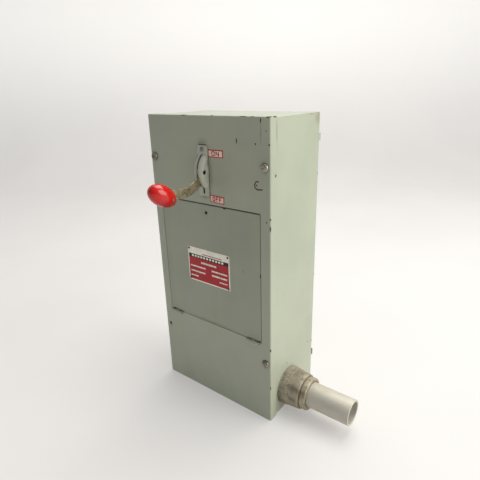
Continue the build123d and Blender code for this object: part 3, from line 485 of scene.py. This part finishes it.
# ---- Labels and rating plate ----
def stroke(mesh, start, end, width, front, back, degrees, middle, material):
    """Short printed bar between two (x, up) points, turned with its label about a middle."""
    across = Vector((start.y - end.y, end.x - start.x)).normalized() * width / 2
    run = (end - start).normalized() * width * 0.25
    corners = (start - run + across, start - run - across, end + run - across, end + run + across)
    turn = Matrix.Rotation(math.radians(-degrees), 2)
    slab(mesh, [tuple(middle + turn @ c) for c in corners], front, back, 0.03, material)


# Strokes of each letter as pairs of (x, up) points about its middle.
LETTERS = {
    "O": [((-1.9, -2.2), (-1.9, 2.2)), ((-1.9, 2.2), (-0.8, 3.2)), ((-0.8, 3.2), (0.8, 3.2)),
          ((0.8, 3.2), (1.9, 2.2)), ((1.9, 2.2), (1.9, -2.2)), ((1.9, -2.2), (0.8, -3.2)),
          ((0.8, -3.2), (-0.8, -3.2)), ((-0.8, -3.2), (-1.9, -2.2))],
    "N": [((-1.9, -3.2), (-1.9, 3.2)), ((-1.9, 3.2), (1.9, -3.2)), ((1.9, -3.2), (1.9, 3.2))],
    "F": [((-1.7, -3.2), (-1.7, 3.2)), ((-1.7, 3.2), (1.9, 3.2)), ((-1.7, 0.3), (1.3, 0.3))],
}


def make_label(name, word, x, up, degrees, cream, nodes):
    """Stuck-on label: red border, cream field and a raised red word."""
    border, stroke_width, letter_height = 1.7, 1.7, 1.05
    pitch, letter_width = (9.2, 1.5) if len(word) == 2 else (7.2, 1.15)
    middle = Vector(((x[0] + x[1]) / 2, (up[0] + up[1]) / 2))
    mesh = bmesh.new()
    slab(mesh, tilted(rectangle(x, up, 1.2), degrees), -0.30, 0.0, material=0)
    inner = ((x[0] + border, x[1] - border), (up[0] + border, up[1] - border))
    slab(mesh, tilted(rectangle(*inner, 0.6), degrees), -0.38, -0.29, 0.04, material=1)
    for i, letter in enumerate(word):
        shift = (i - (len(word) - 1) / 2) * pitch
        for ends in LETTERS[letter]:
            points = [Vector((a * letter_width + shift, b * letter_height)) for a, b in ends]
            stroke(mesh, *points, stroke_width, -0.45, -0.37, degrees, middle, 2)
    border_ink = enamel(name + "_border", srgb(172, 14, 28), srgb(146, 10, 22), worn=0.12)
    field = enamel(name + "_field", cream, srgb(214, 190, 166))
    letters = enamel(name + "_letters", srgb(184, 24, 30), srgb(158, 18, 26), worn=0.12)
    make_piece(mesh, name + "_plate", "enclosure", [border_ink, field, letters], nodes)


def make_nameplate():
    """Etched plate: pale rim and head with a thin red bar, black band, red field, pale bars."""
    x, up, field_top, band_top = (-55.0, 47.5), (251.5, 321.0), 299.9, 307.2
    inner = (-52.8, 45.3)
    ink_face, pale_face, head_bar_face = -0.84, -0.87, -0.82
    mesh = bmesh.new()
    slab(mesh, rectangle(x, up, 2.0), -0.80, 0.0, material=0)
    slab(mesh, rectangle(inner, (field_top, band_top), 0.3), ink_face, -0.79, 0.03, material=1)
    slab(mesh, rectangle(inner, (253.9, field_top), 0.6), ink_face, -0.79, 0.03, material=2)

    def bar(low, width, middle, tall, corner, front, material):
        span, rise = (low, low + width), (middle - tall / 2, middle + tall / 2)
        slab(mesh, rectangle(span, rise, corner), front, front + 0.04, 0.02, material)

    lines = [
        ((-22, 16), 292.3, 3.6), ((-50, -11.5), 282.2, 3.0), ((-49, -12), 271.8, 3.2),
        ((-49.5, -30.5), 262.2, 2.8), ((4, 42), 281.5, 3.0), ((4.5, 41.5), 272.6, 3.4),
        ((22.5, 41.5), 263.0, 2.6),
    ]
    for (low, high), middle, tall in lines:
        count = max(2, round((high - low) / 2.7))
        pitch = (high - low) / count
        for i in range(count):
            width = pitch * random.uniform(0.62, 0.93)
            bar(low + pitch * i, width, middle, tall, 0.2, pale_face, 3)
    bar(-18.0, 47.74, 310.3, 1.5, 0.3, head_bar_face, 2)
    count, low, high = 11, -45.0, 36.0
    pitch = (high - low) / count
    for i in range(count):
        bar(low + pitch * i, pitch * 0.62, 303.6, 3.8, 0.3, pale_face, 3)
    inks = [
        MATERIALS["nameplate"],
        enamel("plate_black", srgb(24, 20, 20), srgb(16, 14, 14), 0.5, 0.08),
        enamel("plate_red", srgb(182, 14, 30), srgb(156, 10, 22), 0.5, 0.08),
        enamel("plate_silver", srgb(250, 250, 236), srgb(236, 236, 218), 0.4, 0.1),
    ]
    make_piece(mesh, "rating_plate", "door", inks, ["nameplate"], sharp=15.0)


# ---- Conduit ----
NUT_START, NUT_END = 174.7, 187.7


def conduit_place():
    """Turns (along, across, up) from the conduit's axis at the middle of the box into the frame."""
    return Matrix.Translation(at(0.0, 64.0, 45.0)) @ Matrix.Scale(MM, 4)


def make_connector():
    """Cast hub: serrated flange against the box, fluted base, long taper and a groove at its end."""
    wall, bore, thread, seat = 133.4, 19.8, 24.0, 24.3
    outline = [
        (118.0, bore), (118.0, thread), (wall, thread), (wall, 37.4), (wall + 2.8, 37.4),
        (wall + 3.2, 35.9), (wall + 4.4, 35.9), (wall + 5.0, 37.6), (wall + 15.5, 36.6),
        (wall + 17.0, 35.9), (171.5, 34.6), (NUT_START, 33.6), (NUT_START, seat), (150.0, seat),
        (150.0, bore),
    ]
    teeth, flutes, depth = 44, 30, 0.55

    def ripple(along, angle):
        if wall - 0.1 < along < wall + 3.0:
            return depth * math.sin(teeth * angle) - 0.1
        if wall + 5.0 < along < wall + 15.9:
            return -depth * max(0.0, math.sin(flutes * angle)) ** 2
        return 0.0

    dense = []
    for (a, ra), (b, rb) in zip(outline, outline[1:] + outline[:1]):
        fluted = wall + 4.4 < a < wall + 17.0 and ra > 30
        pieces = 6 if fluted else 1
        dense += [(a + (b - a) * i / pieces, ra + (rb - ra) * i / pieces) for i in range(pieces)]
    mesh = bmesh.new()
    lathe(mesh, eased(dense, 0.6, closed=True), conduit_place(), 264, closed=True, ripple=ripple)
    material = [MATERIALS["hub_casting"]]
    make_piece(mesh, "connector_hub", "enclosure", material, ["conduit_connector"], 50.0)


def make_nut():
    """Compression nut: a groove next to the hub, a rounded lip and one small raised lug."""
    outline = [
        (NUT_START, 24.3), (NUT_START, 29.6), (176.4, 29.6), (177.2, 31.2), (180.0, 31.7),
        (186.0, 31.7), (NUT_END, 30.6), (NUT_END, 27.0), (186.4, 25.6), (186.4, 24.3),
    ]
    mesh = bmesh.new()
    lathe(mesh, eased(outline, 0.9, closed=True), conduit_place(), 160, closed=True)
    lug = eased([(-2.2, 30.9), (2.2, 30.9), (1.8, 33.2), (-1.8, 33.2)], 0.6, closed=True)
    place = conduit_place()
    stations = [lambda u, v, x=x: place @ Vector((x, u, v)) for x in (178.6, 179.2, 184.6, 185.2)]
    sweep(mesh, lug, stations)
    material = [MATERIALS["nut_casting"]]
    make_piece(mesh, "connector_nut", "enclosure", material, ["conduit_nut"], 50.0)


def make_conduit():
    """Open stub of conduit with a rounded rim, thinner inside the connector."""
    inner, outer, start, end = 20.45, 24.13, 150.0, 271.3
    seated = outer - 0.4
    outline = [
        (start, inner), (start, seated), (NUT_END, seated), (NUT_END, outer), (end, outer),
        (end, inner),
    ]
    mesh = bmesh.new()
    lathe(mesh, eased(outline, 0.8, closed=True), conduit_place(), 160, closed=True)
    material = [MATERIALS["conduit_steel"]]
    make_piece(mesh, "conduit_stub", "enclosure", material, ["conduit"], 50.0)


# ---- Painted steel ----
PAINT = srgb(167, 173, 153)
PAINT_DARK = srgb(150, 157, 138)
DOOR_TINTS = (srgb(155, 161, 142), srgb(140, 146, 128))
# The guard's tints are the cover's enamel made lighter: painted light for the guard's lit flanks.
GUARD_LIT_TINTS = (srgb(184, 188, 172), srgb(158, 162, 147))
PAINT_WARM = srgb(176, 172, 140)
RUST_DARK = srgb(54, 36, 28)
RUST_LIGHT = srgb(112, 72, 46)
# Stain colour: used for real stains, and for painted shade round the hub on the box side.
STAIN_AND_SHADE_TINT = srgb(122, 116, 88)
# Dark mark colour: used for dirt, and for painted shade in gaps and along the edges of parts.
GRIME_AND_SHADE = srgb(48, 46, 40)


def rusty_paint(
    name, rust_marks=(), stain_and_shade_marks=(), grime_and_shade_marks=(), edge_wear=0.69, grime=0.4,
    tints=(PAINT, PAINT_DARK),
):
    """Grey-green enamel with orange peel, edge chips down to rust, stains and faint runs.

    Marks are ("spot", centre, radii) or ("line", start, end, width). A higher edge_wear leaves
    fewer chips along the edges."""
    s = Shader(name)
    ragged = s.noise(420.0, 5.0, 0.7)
    clouds = s.step(s.noise(5.5, 4.0, 0.6), 0.35, 0.68)
    runs = s.step(s.noise(16.0, 4.0, 0.6, s.stretched(2.2, 2.2, 0.16)), 0.45, 0.75)
    specks = s.step(s.noise(260.0, 3.0, 0.8), 0.70, 0.78)

    def marks(listed, soft=0.25):
        masks = []
        for kind, *shape in listed:
            if kind == "spot":
                masks.append(s.spot(*shape, ragged, soft))
            else:
                masks.append(s.line(*shape, ragged))
        return s.either(*masks) if masks else 0.0

    edge = s.edge(1.3 * MM)
    chance = s.step(s.noise(34.0, 5.0, 0.72), edge_wear, edge_wear + 0.05)
    pits = s.step(s.noise(95.0, 6.0, 0.75), 0.735, 0.76)
    pits = s.math("MULTIPLY", pits, s.step(s.noise(9.0, 2.0), 0.52, 0.62))
    rust = s.either(s.math("MULTIPLY", edge, chance), pits, marks(rust_marks))
    stain = s.either(marks(stain_and_shade_marks, 0.9), s.math("MULTIPLY", s.edge(3.0 * MM, 0.01, 0.22), 0.35))

    colour = s.mix(s.math("MULTIPLY", clouds, 0.55), *tints)
    colour = s.mix(s.math("MULTIPLY", runs, 0.22), colour, PAINT_WARM)
    colour = s.mix(s.math("MULTIPLY", specks, grime), colour, srgb(98, 96, 80))
    # Stains; on the box they include painted shade round the hub.
    colour = s.mix(s.math("MULTIPLY", stain, 0.5), colour, STAIN_AND_SHADE_TINT)
    # Dark marks: dirt spots, and painted shade lines in gaps and along the edges of parts.
    colour = s.mix(s.math("MULTIPLY", marks(grime_and_shade_marks), 0.8), colour, GRIME_AND_SHADE)
    flakes = s.step(s.noise(700.0, 4.0, 0.7), 0.4, 0.62)
    colour = s.mix(rust, colour, s.mix(flakes, RUST_DARK, RUST_LIGHT))

    peel = s.noise(900.0, 2.0, 0.5)
    waves = s.noise(7.0, 2.0, 0.4)
    hollow = s.math("SUBTRACT", s.math("MULTIPLY", flakes, rust), s.math("MULTIPLY", rust, 1.6))
    normal = s.bump(waves, 0.9 * MM, s.rounded(0.5 * MM))
    normal = s.bump(peel, 0.012 * MM, normal)
    normal = s.bump(hollow, 0.16 * MM, normal)
    rough = s.math("ADD", s.scaled(s.noise(48.0, 4.0), 0.30, 0.46), s.math("MULTIPLY", rust, 0.42))
    return s.surface(colour, rough, 0.0, normal)


def cover_marks():
    """Rust, stains and grime of the front cover, with painted shade along the door's top gap and round
    the guard's edges.
    """
    top, side = HEIGHT, HALF_W
    rust = [
        ("spot", at(-44, 0, top), (9, 2.5, 1.6)),
        ("spot", at(21, 0, top), (3.5, 2.5, 1.6)),
        ("spot", at(84, 0, top), (12, 2.0, 1.5)),
        ("spot", at(103, 0, top), (5, 2.0, 1.4)),
        ("spot", at(side - 4, 1, top), (5, 6, 2.2)),
        ("spot", at(side, 13, top), (2.5, 6, 2.4)),
        ("spot", at(118, 0, 556), (1.3, 1.5, 4.2)),
        ("spot", at(71, 0, 524), (1.5, 1.5, 4.6)),
        ("spot", at(side, 0, 388), (2.0, 2.2, 5.5)),
        ("spot", at(side, 0, 404), (1.6, 2.2, 2.6)),
        ("spot", at(side, 0, 158), (2.2, 2.4, 3.2)),
        ("spot", at(side, 0, 76), (2.0, 2.2, 4.0)),
        ("spot", at(side, 15, 472), (1.5, 2.0, 3.0)),
        ("spot", at(128, 0, 398), (1.5, 1.5, 1.5)),
        ("spot", at(109.3, 0, 456.8), (1.7, 1.5, 1.8)),
        ("spot", at(107.9, 0, 521), (1.5, 1.5, 1.8)),
        ("spot", at(133.5, 0, 521), (1.4, 1.5, 1.6)),
    ]
    scratch = [
        (112.8, 463.0), (108.0, 462.3), (105.2, 457.0), (106.4, 452.2), (110.7, 450.0),
        (120.0, 450.8),
    ]
    for (x, up), (next_x, next_up) in zip(scratch, scratch[1:]):
        rust.append(("line", at(x, 0, up), at(next_x, 0, next_up), 1.3))
    stain = [
        ("spot", at(118, 0, 538), (2.2, 2.0, 26)),
        ("spot", at(side, 17, top - 22), (4.0, 3.0, 26)),
        ("spot", at(-3, 0, 515), (18, 3.0, 14)),
        ("spot", at(-SCREW_X, 0, 483), (10, 3.0, 11)),
        ("spot", at(SCREW_X, 0, 483), (10, 3.0, 11)),
        ("spot", at(SCREW_X, 0, 123), (10, 3.0, 11)),
        ("spot", at(-SCREW_X, 0, 123), (7, 3.0, 9)),
        ("spot", at(-3, 0, 424), (16, 3.0, 7)),
        ("spot", at(12, 0, 469), (7, 2.0, 50)),
    ]
    grime = [
        # Painted shade: dark lines along the guard's right edge, above its top tab and along its bottom.
        ("line", at(9.5, 0, 508), at(9.5, 0, 428), 1.0),
        ("line", at(-11.0, 0, 514.2), at(5.0, 0, 514.2), 1.0),
        ("line", at(5.0, 0, 514.2), at(9.2, 0, 509), 0.9),
        ("line", at(-8.0, 0, 424.2), at(8.0, 0, 424.2), 0.6),
        # Painted shade in the gap along the door's top edge.
        ("line", at(-115.5, 0, 410.4), at(115.5, 0, 410.4), 0.7),
        ("spot", at(128, 0, 541), (1.5, 1.5, 1.2)),
    ]
    return rust, stain, grime


def box_marks():
    """Small chips of the box body, stains at its upper back corner, and painted shade round the hub."""
    side = BOX_HIGH.x / MM
    top = (BOX_HIGH.z - BOTTOM_Z) / MM
    rust = [
        ("spot", at(side, DEPTH, 250), (2.0, 2.0, 3.0)),
        ("spot", at(side, DEPTH, 96), (2.0, 2.4, 5.0)),
        ("spot", at(side, 140, 102), (2.0, 1.6, 1.6)),
        ("spot", at(side, 60, 96), (2.0, 1.8, 1.4)),
        ("spot", at(side, DEPTH, 452), (2.0, 2.0, 3.0)),
        ("spot", at(side - 60, DEPTH, top), (6.0, 2.0, 2.0)),
    ]
    stain = [
        ("spot", at(side, DEPTH - 6, top - 8), (6, 16, 18)),
        ("spot", at(side, DEPTH - 30, top), (6, 14, 5)),
        ("spot", at(side, 22, top - 30), (6, 2.5, 40)),
        # Painted shade: soft darkening of the box side round the hub.
        ("spot", at(side, 64, 45), (6, 46, 46)),
    ]
    return rust, stain


def door_marks():
    """Chips round the door's edges, a smudge, painted shade along its top edge, and dirt round its hole.
    """
    rust = [
        ("spot", at(112, 0, 169), (3, 2, 1.6)),
        ("spot", at(-108, 0, 168), (4, 2, 1.6)),
        ("spot", at(115, 0, 300), (1.2, 2, 4)),
        ("spot", at(-115, 0, 392), (1.4, 2, 5)),
        ("spot", at(40, 0, 408), (4, 2, 1.2)),
    ]
    stain = [
        ("spot", at(78, 0, 300), (2.5, 2, 5)),
        ("spot", at(0, 0, 170), (100, 2, 4)),
    ]
    grime = [
        # Painted shade in the gap along the door's top edge.
        ("line", at(-115, 0, 408.7), at(115, 0, 408.7), 0.4),
        ("spot", at(-3, 0, 394), (3.6, 2, 3.6)),
    ]
    return rust, stain, grime


# ---- Metals, plastics and boards ----
def plated_steel(name, bright, dark, rust=0.7):
    """Plated or blackened steel: cloudy, finely scratched, bright edges, specks of rust."""
    s = Shader(name)
    clouds = s.noise(60.0, 5.0, 0.65)
    fine = s.noise(520.0, 3.0, 0.6, s.stretched(1.0, 1.0, 0.25))
    spots = s.step(s.noise(150.0, 5.0, 0.75), rust, rust + 0.06)
    colour = s.mix(s.step(clouds, 0.3, 0.7), bright, dark)
    colour = s.mix(s.math("MULTIPLY", s.edge(0.7 * MM), 0.7), colour, srgb(214, 208, 190))
    colour = s.mix(spots, colour, srgb(104, 66, 40))
    metal = s.math("SUBTRACT", 0.95, s.math("MULTIPLY", spots, 0.8))
    rough = s.math("ADD", s.scaled(fine, 0.28, 0.5), s.math("MULTIPLY", spots, 0.3))
    normal = s.bump(fine, 0.02 * MM, s.rounded(0.3 * MM))
    return s.surface(colour, rough, metal, normal)


def lever_metal(name):
    """Nickel worn to a bronze-grey, with long scratches, and brighter along its edges: partly worn
    metal, partly a painted highlight.
    """
    s = Shader(name)
    clouds = s.noise(75.0, 6.0, 0.7)
    scratches = s.noise(240.0, 4.0, 0.7, s.stretched(1.0, 0.22, 1.0))
    blotch = s.step(s.noise(130.0, 5.0, 0.72), 0.52, 0.60)
    colour = s.mix(s.step(clouds, 0.32, 0.66), srgb(142, 132, 106), srgb(180, 172, 144))
    colour = s.mix(s.math("MULTIPLY", blotch, 0.6), colour, srgb(92, 78, 56))
    # Bright edges: partly worn nickel, partly a painted highlight along the edges.
    colour = s.mix(s.edge(1.0 * MM), colour, srgb(205, 200, 178))
    rough = s.scaled(scratches, 0.28, 0.62)
    normal = s.bump(scratches, 0.035 * MM, s.rounded(0.6 * MM))
    return s.surface(colour, rough, 0.82, normal)


def knob_plastic(name):
    """Glossy red phenolic, scuffed dull in places, with painted shade darkening it underneath."""
    s = Shader(name)
    clouds = s.step(s.noise(45.0, 5.0, 0.65), 0.38, 0.66)
    scuffs = s.step(s.noise(170.0, 6.0, 0.75, s.stretched(1.0, 0.5, 1.2)), 0.56, 0.66)
    colour = s.mix(s.math("MULTIPLY", clouds, 0.5), srgb(196, 13, 6), srgb(164, 10, 6))
    colour = s.mix(s.math("MULTIPLY", scuffs, 0.4), colour, srgb(122, 18, 18))
    # Painted shade: the red is darkened towards the bottom of the knob.
    painted_underside_shade = s.step(s.height(), at(0, 0, 446).z, at(0, 0, 428).z)
    colour = s.mix(s.math("MULTIPLY", painted_underside_shade, 0.7), colour, srgb(132, 12, 12))
    rough = s.math("ADD", s.scaled(clouds, 0.12, 0.20), s.math("MULTIPLY", scuffs, 0.3))
    normal = s.bump(s.noise(30.0, 3.0, 0.5), 0.35 * MM)
    normal = s.bump(scuffs, 0.03 * MM, normal)
    return s.surface(colour, rough, 0.0, normal, Coat_Weight=0.14, Coat_Roughness=0.08)


def enamel(name, colour, dark, roughness=0.35, worn=0.35):
    """Printed ink or enamel, slightly worn and mottled."""
    s = Shader(name)
    wear = s.step(s.noise(420.0, 5.0, 0.75), 0.60, 0.72)
    clouds = s.step(s.noise(70.0, 4.0), 0.35, 0.7)
    tint = s.mix(s.math("MULTIPLY", clouds, 0.6), colour, dark)
    tint = s.mix(s.math("MULTIPLY", wear, worn), tint, srgb(196, 188, 168))
    normal = s.bump(s.noise(900.0, 2.0), 0.01 * MM)
    return s.surface(tint, s.scaled(wear, roughness, roughness + 0.25), 0.0, normal)


def moulded(name, colour, dark):
    """Moulded phenolic with flow marks and dust."""
    s = Shader(name)
    flow = s.noise(22.0, 6.0, 0.6, s.stretched(1.0, 1.0, 0.3), 1.2)
    dust = s.step(s.noise(330.0, 4.0, 0.7), 0.55, 0.75)
    tint = s.mix(s.step(flow, 0.35, 0.65), colour, dark)
    tint = s.mix(s.math("MULTIPLY", dust, 0.2), tint, srgb(150, 144, 130))
    normal = s.bump(s.noise(1200.0, 2.0), 0.015 * MM, s.rounded(0.4 * MM))
    return s.surface(tint, s.scaled(dust, 0.35, 0.55), 0.0, normal)


def fibre(name, colour, dark, lay):
    """Vulcanised fibre or laminated board, with strands along one way."""
    s = Shader(name)
    strands = s.noise(260.0, 5.0, 0.7, s.stretched(*lay))
    clouds = s.noise(24.0, 4.0, 0.6)
    tint = s.mix(s.step(strands, 0.35, 0.65), colour, dark)
    tint = s.mix(s.math("MULTIPLY", s.step(clouds, 0.5, 0.8), 0.4), tint, dark)
    normal = s.bump(strands, 0.05 * MM, s.rounded(0.4 * MM))
    return s.surface(tint, s.scaled(strands, 0.55, 0.78), 0.0, normal)


def copper(name, colour, tarnish):
    """Copper, tinned copper or aluminium: brushed, tarnished in patches."""
    s = Shader(name)
    brushed = s.noise(380.0, 3.0, 0.6, s.stretched(1.0, 1.0, 0.12))
    patches = s.step(s.noise(55.0, 5.0, 0.65), 0.42, 0.68)
    tint = s.mix(s.math("MULTIPLY", patches, 0.75), colour, tarnish)
    tint = s.mix(s.math("MULTIPLY", s.edge(0.6 * MM), 0.5), tint, colour)
    rough = s.math("ADD", s.scaled(brushed, 0.22, 0.40), s.math("MULTIPLY", patches, 0.14))
    return s.surface(tint, rough, 0.95, s.bump(brushed, 0.012 * MM, s.rounded(0.3 * MM)))


def cast_zinc(name, pale, dark):
    """Dull cast fitting: grainy, cloudy, blotched with dirt, worn pale along its edges."""
    s = Shader(name)
    grain = s.noise(480.0, 6.0, 0.75)
    clouds = s.step(s.noise(36.0, 5.0, 0.65), 0.35, 0.68)
    dirt = s.step(s.noise(120.0, 6.0, 0.75), 0.52, 0.66)
    tint = s.mix(clouds, pale, dark)
    tint = s.mix(s.math("MULTIPLY", dirt, 0.65), tint, srgb(84, 74, 58))
    tint = s.mix(s.math("MULTIPLY", s.edge(0.9 * MM), 0.75), tint, srgb(188, 180, 158))
    rough = s.scaled(grain, 0.45, 0.75)
    return s.surface(tint, rough, 0.55, s.bump(grain, 0.10 * MM, s.rounded(0.5 * MM)))


def galvanised(name):
    """Matt grey drawn tube: lengthwise draw lines, faint yellowing, scuffs."""
    s = Shader(name)
    lines = s.noise(300.0, 4.0, 0.6, s.stretched(0.03, 1.0, 1.0))
    clouds = s.step(s.noise(24.0, 4.0, 0.6, s.stretched(0.6, 1.0, 1.0)), 0.4, 0.7)
    scuffs = s.step(s.noise(150.0, 5.0, 0.75), 0.64, 0.70)
    tint = s.mix(s.math("MULTIPLY", clouds, 0.6), srgb(203, 199, 187), srgb(181, 174, 151))
    tint = s.mix(s.math("MULTIPLY", scuffs, 0.5), tint, srgb(140, 132, 112))
    rough = s.math("ADD", s.scaled(lines, 0.62, 0.74), s.math("MULTIPLY", scuffs, 0.2))
    return s.surface(tint, rough, 0.70, s.bump(lines, 0.02 * MM, s.rounded(0.25 * MM)))


def make_materials():
    """One material for each of the record's slots, and one more for the cast nut."""
    return {
        "grey_green_paint": rusty_paint("grey_green_paint"),
        # The guard gets lighter tints as painted light on its lit flanks.
        "guard_paint": rusty_paint("guard_paint", edge_wear=0.56, grime=0.6, tints=GUARD_LIT_TINTS),
        "zinc_plate": plated_steel("zinc_plate", srgb(166, 162, 148), srgb(112, 107, 92)),
        "lever_steel": lever_metal("lever_steel"),
        "red_knob": knob_plastic("red_knob"),
        "label_enamel": enamel("label_enamel", srgb(226, 210, 188), srgb(204, 186, 160)),
        "nameplate": enamel("nameplate", srgb(250, 246, 230), srgb(230, 222, 202), 0.4, 0.1),
        "rivet": plated_steel("rivet", srgb(104, 96, 74), srgb(66, 60, 46)),
        "insulating_base": moulded("insulating_base", srgb(44, 38, 34), srgb(30, 26, 24)),
        "barrier_board": fibre("barrier_board", srgb(142, 104, 70), srgb(112, 80, 54), (0.2, 1.0, 1.0)),
        "crossbar_board": fibre("crossbar_board", srgb(128, 58, 40), srgb(92, 38, 28), (0.06, 1.0, 1.0)),
        "copper": copper("copper", srgb(214, 140, 98), srgb(138, 82, 58)),
        "tinned_contact": copper("tinned_contact", srgb(196, 192, 178), srgb(150, 138, 116)),
        "lug_aluminium": copper("lug_aluminium", srgb(204, 204, 200), srgb(168, 166, 160)),
        "black_screw": plated_steel("black_screw", srgb(62, 60, 58), srgb(40, 38, 37), rust=0.66),
        "fuse_fibre": fibre("fuse_fibre", srgb(196, 176, 132), srgb(164, 142, 100), (1.0, 1.0, 0.08)),
        "fuse_copper": copper("fuse_copper", srgb(206, 146, 104), srgb(150, 100, 70)),
        "spring_steel": plated_steel("spring_steel", srgb(132, 130, 124), srgb(92, 90, 86)),
        "hub_casting": cast_zinc("hub_casting", srgb(172, 164, 146), srgb(128, 118, 98)),
        "nut_casting": cast_zinc("nut_casting", srgb(186, 178, 156), srgb(146, 136, 110)),
        "conduit_steel": galvanised("conduit_steel"),
        "bushing_plastic": moulded("bushing_plastic", srgb(60, 56, 52), srgb(42, 40, 38)),
    }


def paint_nodes(materials):
    """Gives every CAD node its slot's material; four painted ones get marks of their own."""
    for entry in frame["record"]["subparts"]:
        node = frame["nodes"][entry["node"]]
        node.data.materials.clear()
        node.data.materials.append(materials[entry["material_slot"]])
    rail_grime = [("spot", at(HALF_W, DEPTH, 65), (12, 14, 12))]
    own = {
        "mounting_rails": rusty_paint("rail_paint", grime_and_shade_marks=rail_grime),
        "front_cover": rusty_paint("cover_paint", *cover_marks()),
        "back_box": rusty_paint("box_paint", *box_marks()),
        "door_panel": rusty_paint("door_paint", *door_marks(), tints=DOOR_TINTS),
    }
    for name, material in own.items():
        frame["nodes"][name].data.materials.clear()
        frame["nodes"][name].data.materials.append(material)


make_camera()
make_lights()
make_room()
make_floor()
MATERIALS = make_materials()
paint_nodes(MATERIALS)
make_knob()
make_lever()
ON_CREAM, OFF_CREAM = srgb(238, 222, 202), srgb(232, 196, 182)
make_label("on_label", "ON", (9.0, 42.0), (494.0, 507.0), 0.0, ON_CREAM, ["on_label"])
make_label("off_label", "OFF", (9.0, 41.0), (415.5, 428.5), 2.5, OFF_CREAM, ["off_label"])
make_nameplate()
make_connector()
make_nut()
make_conduit()
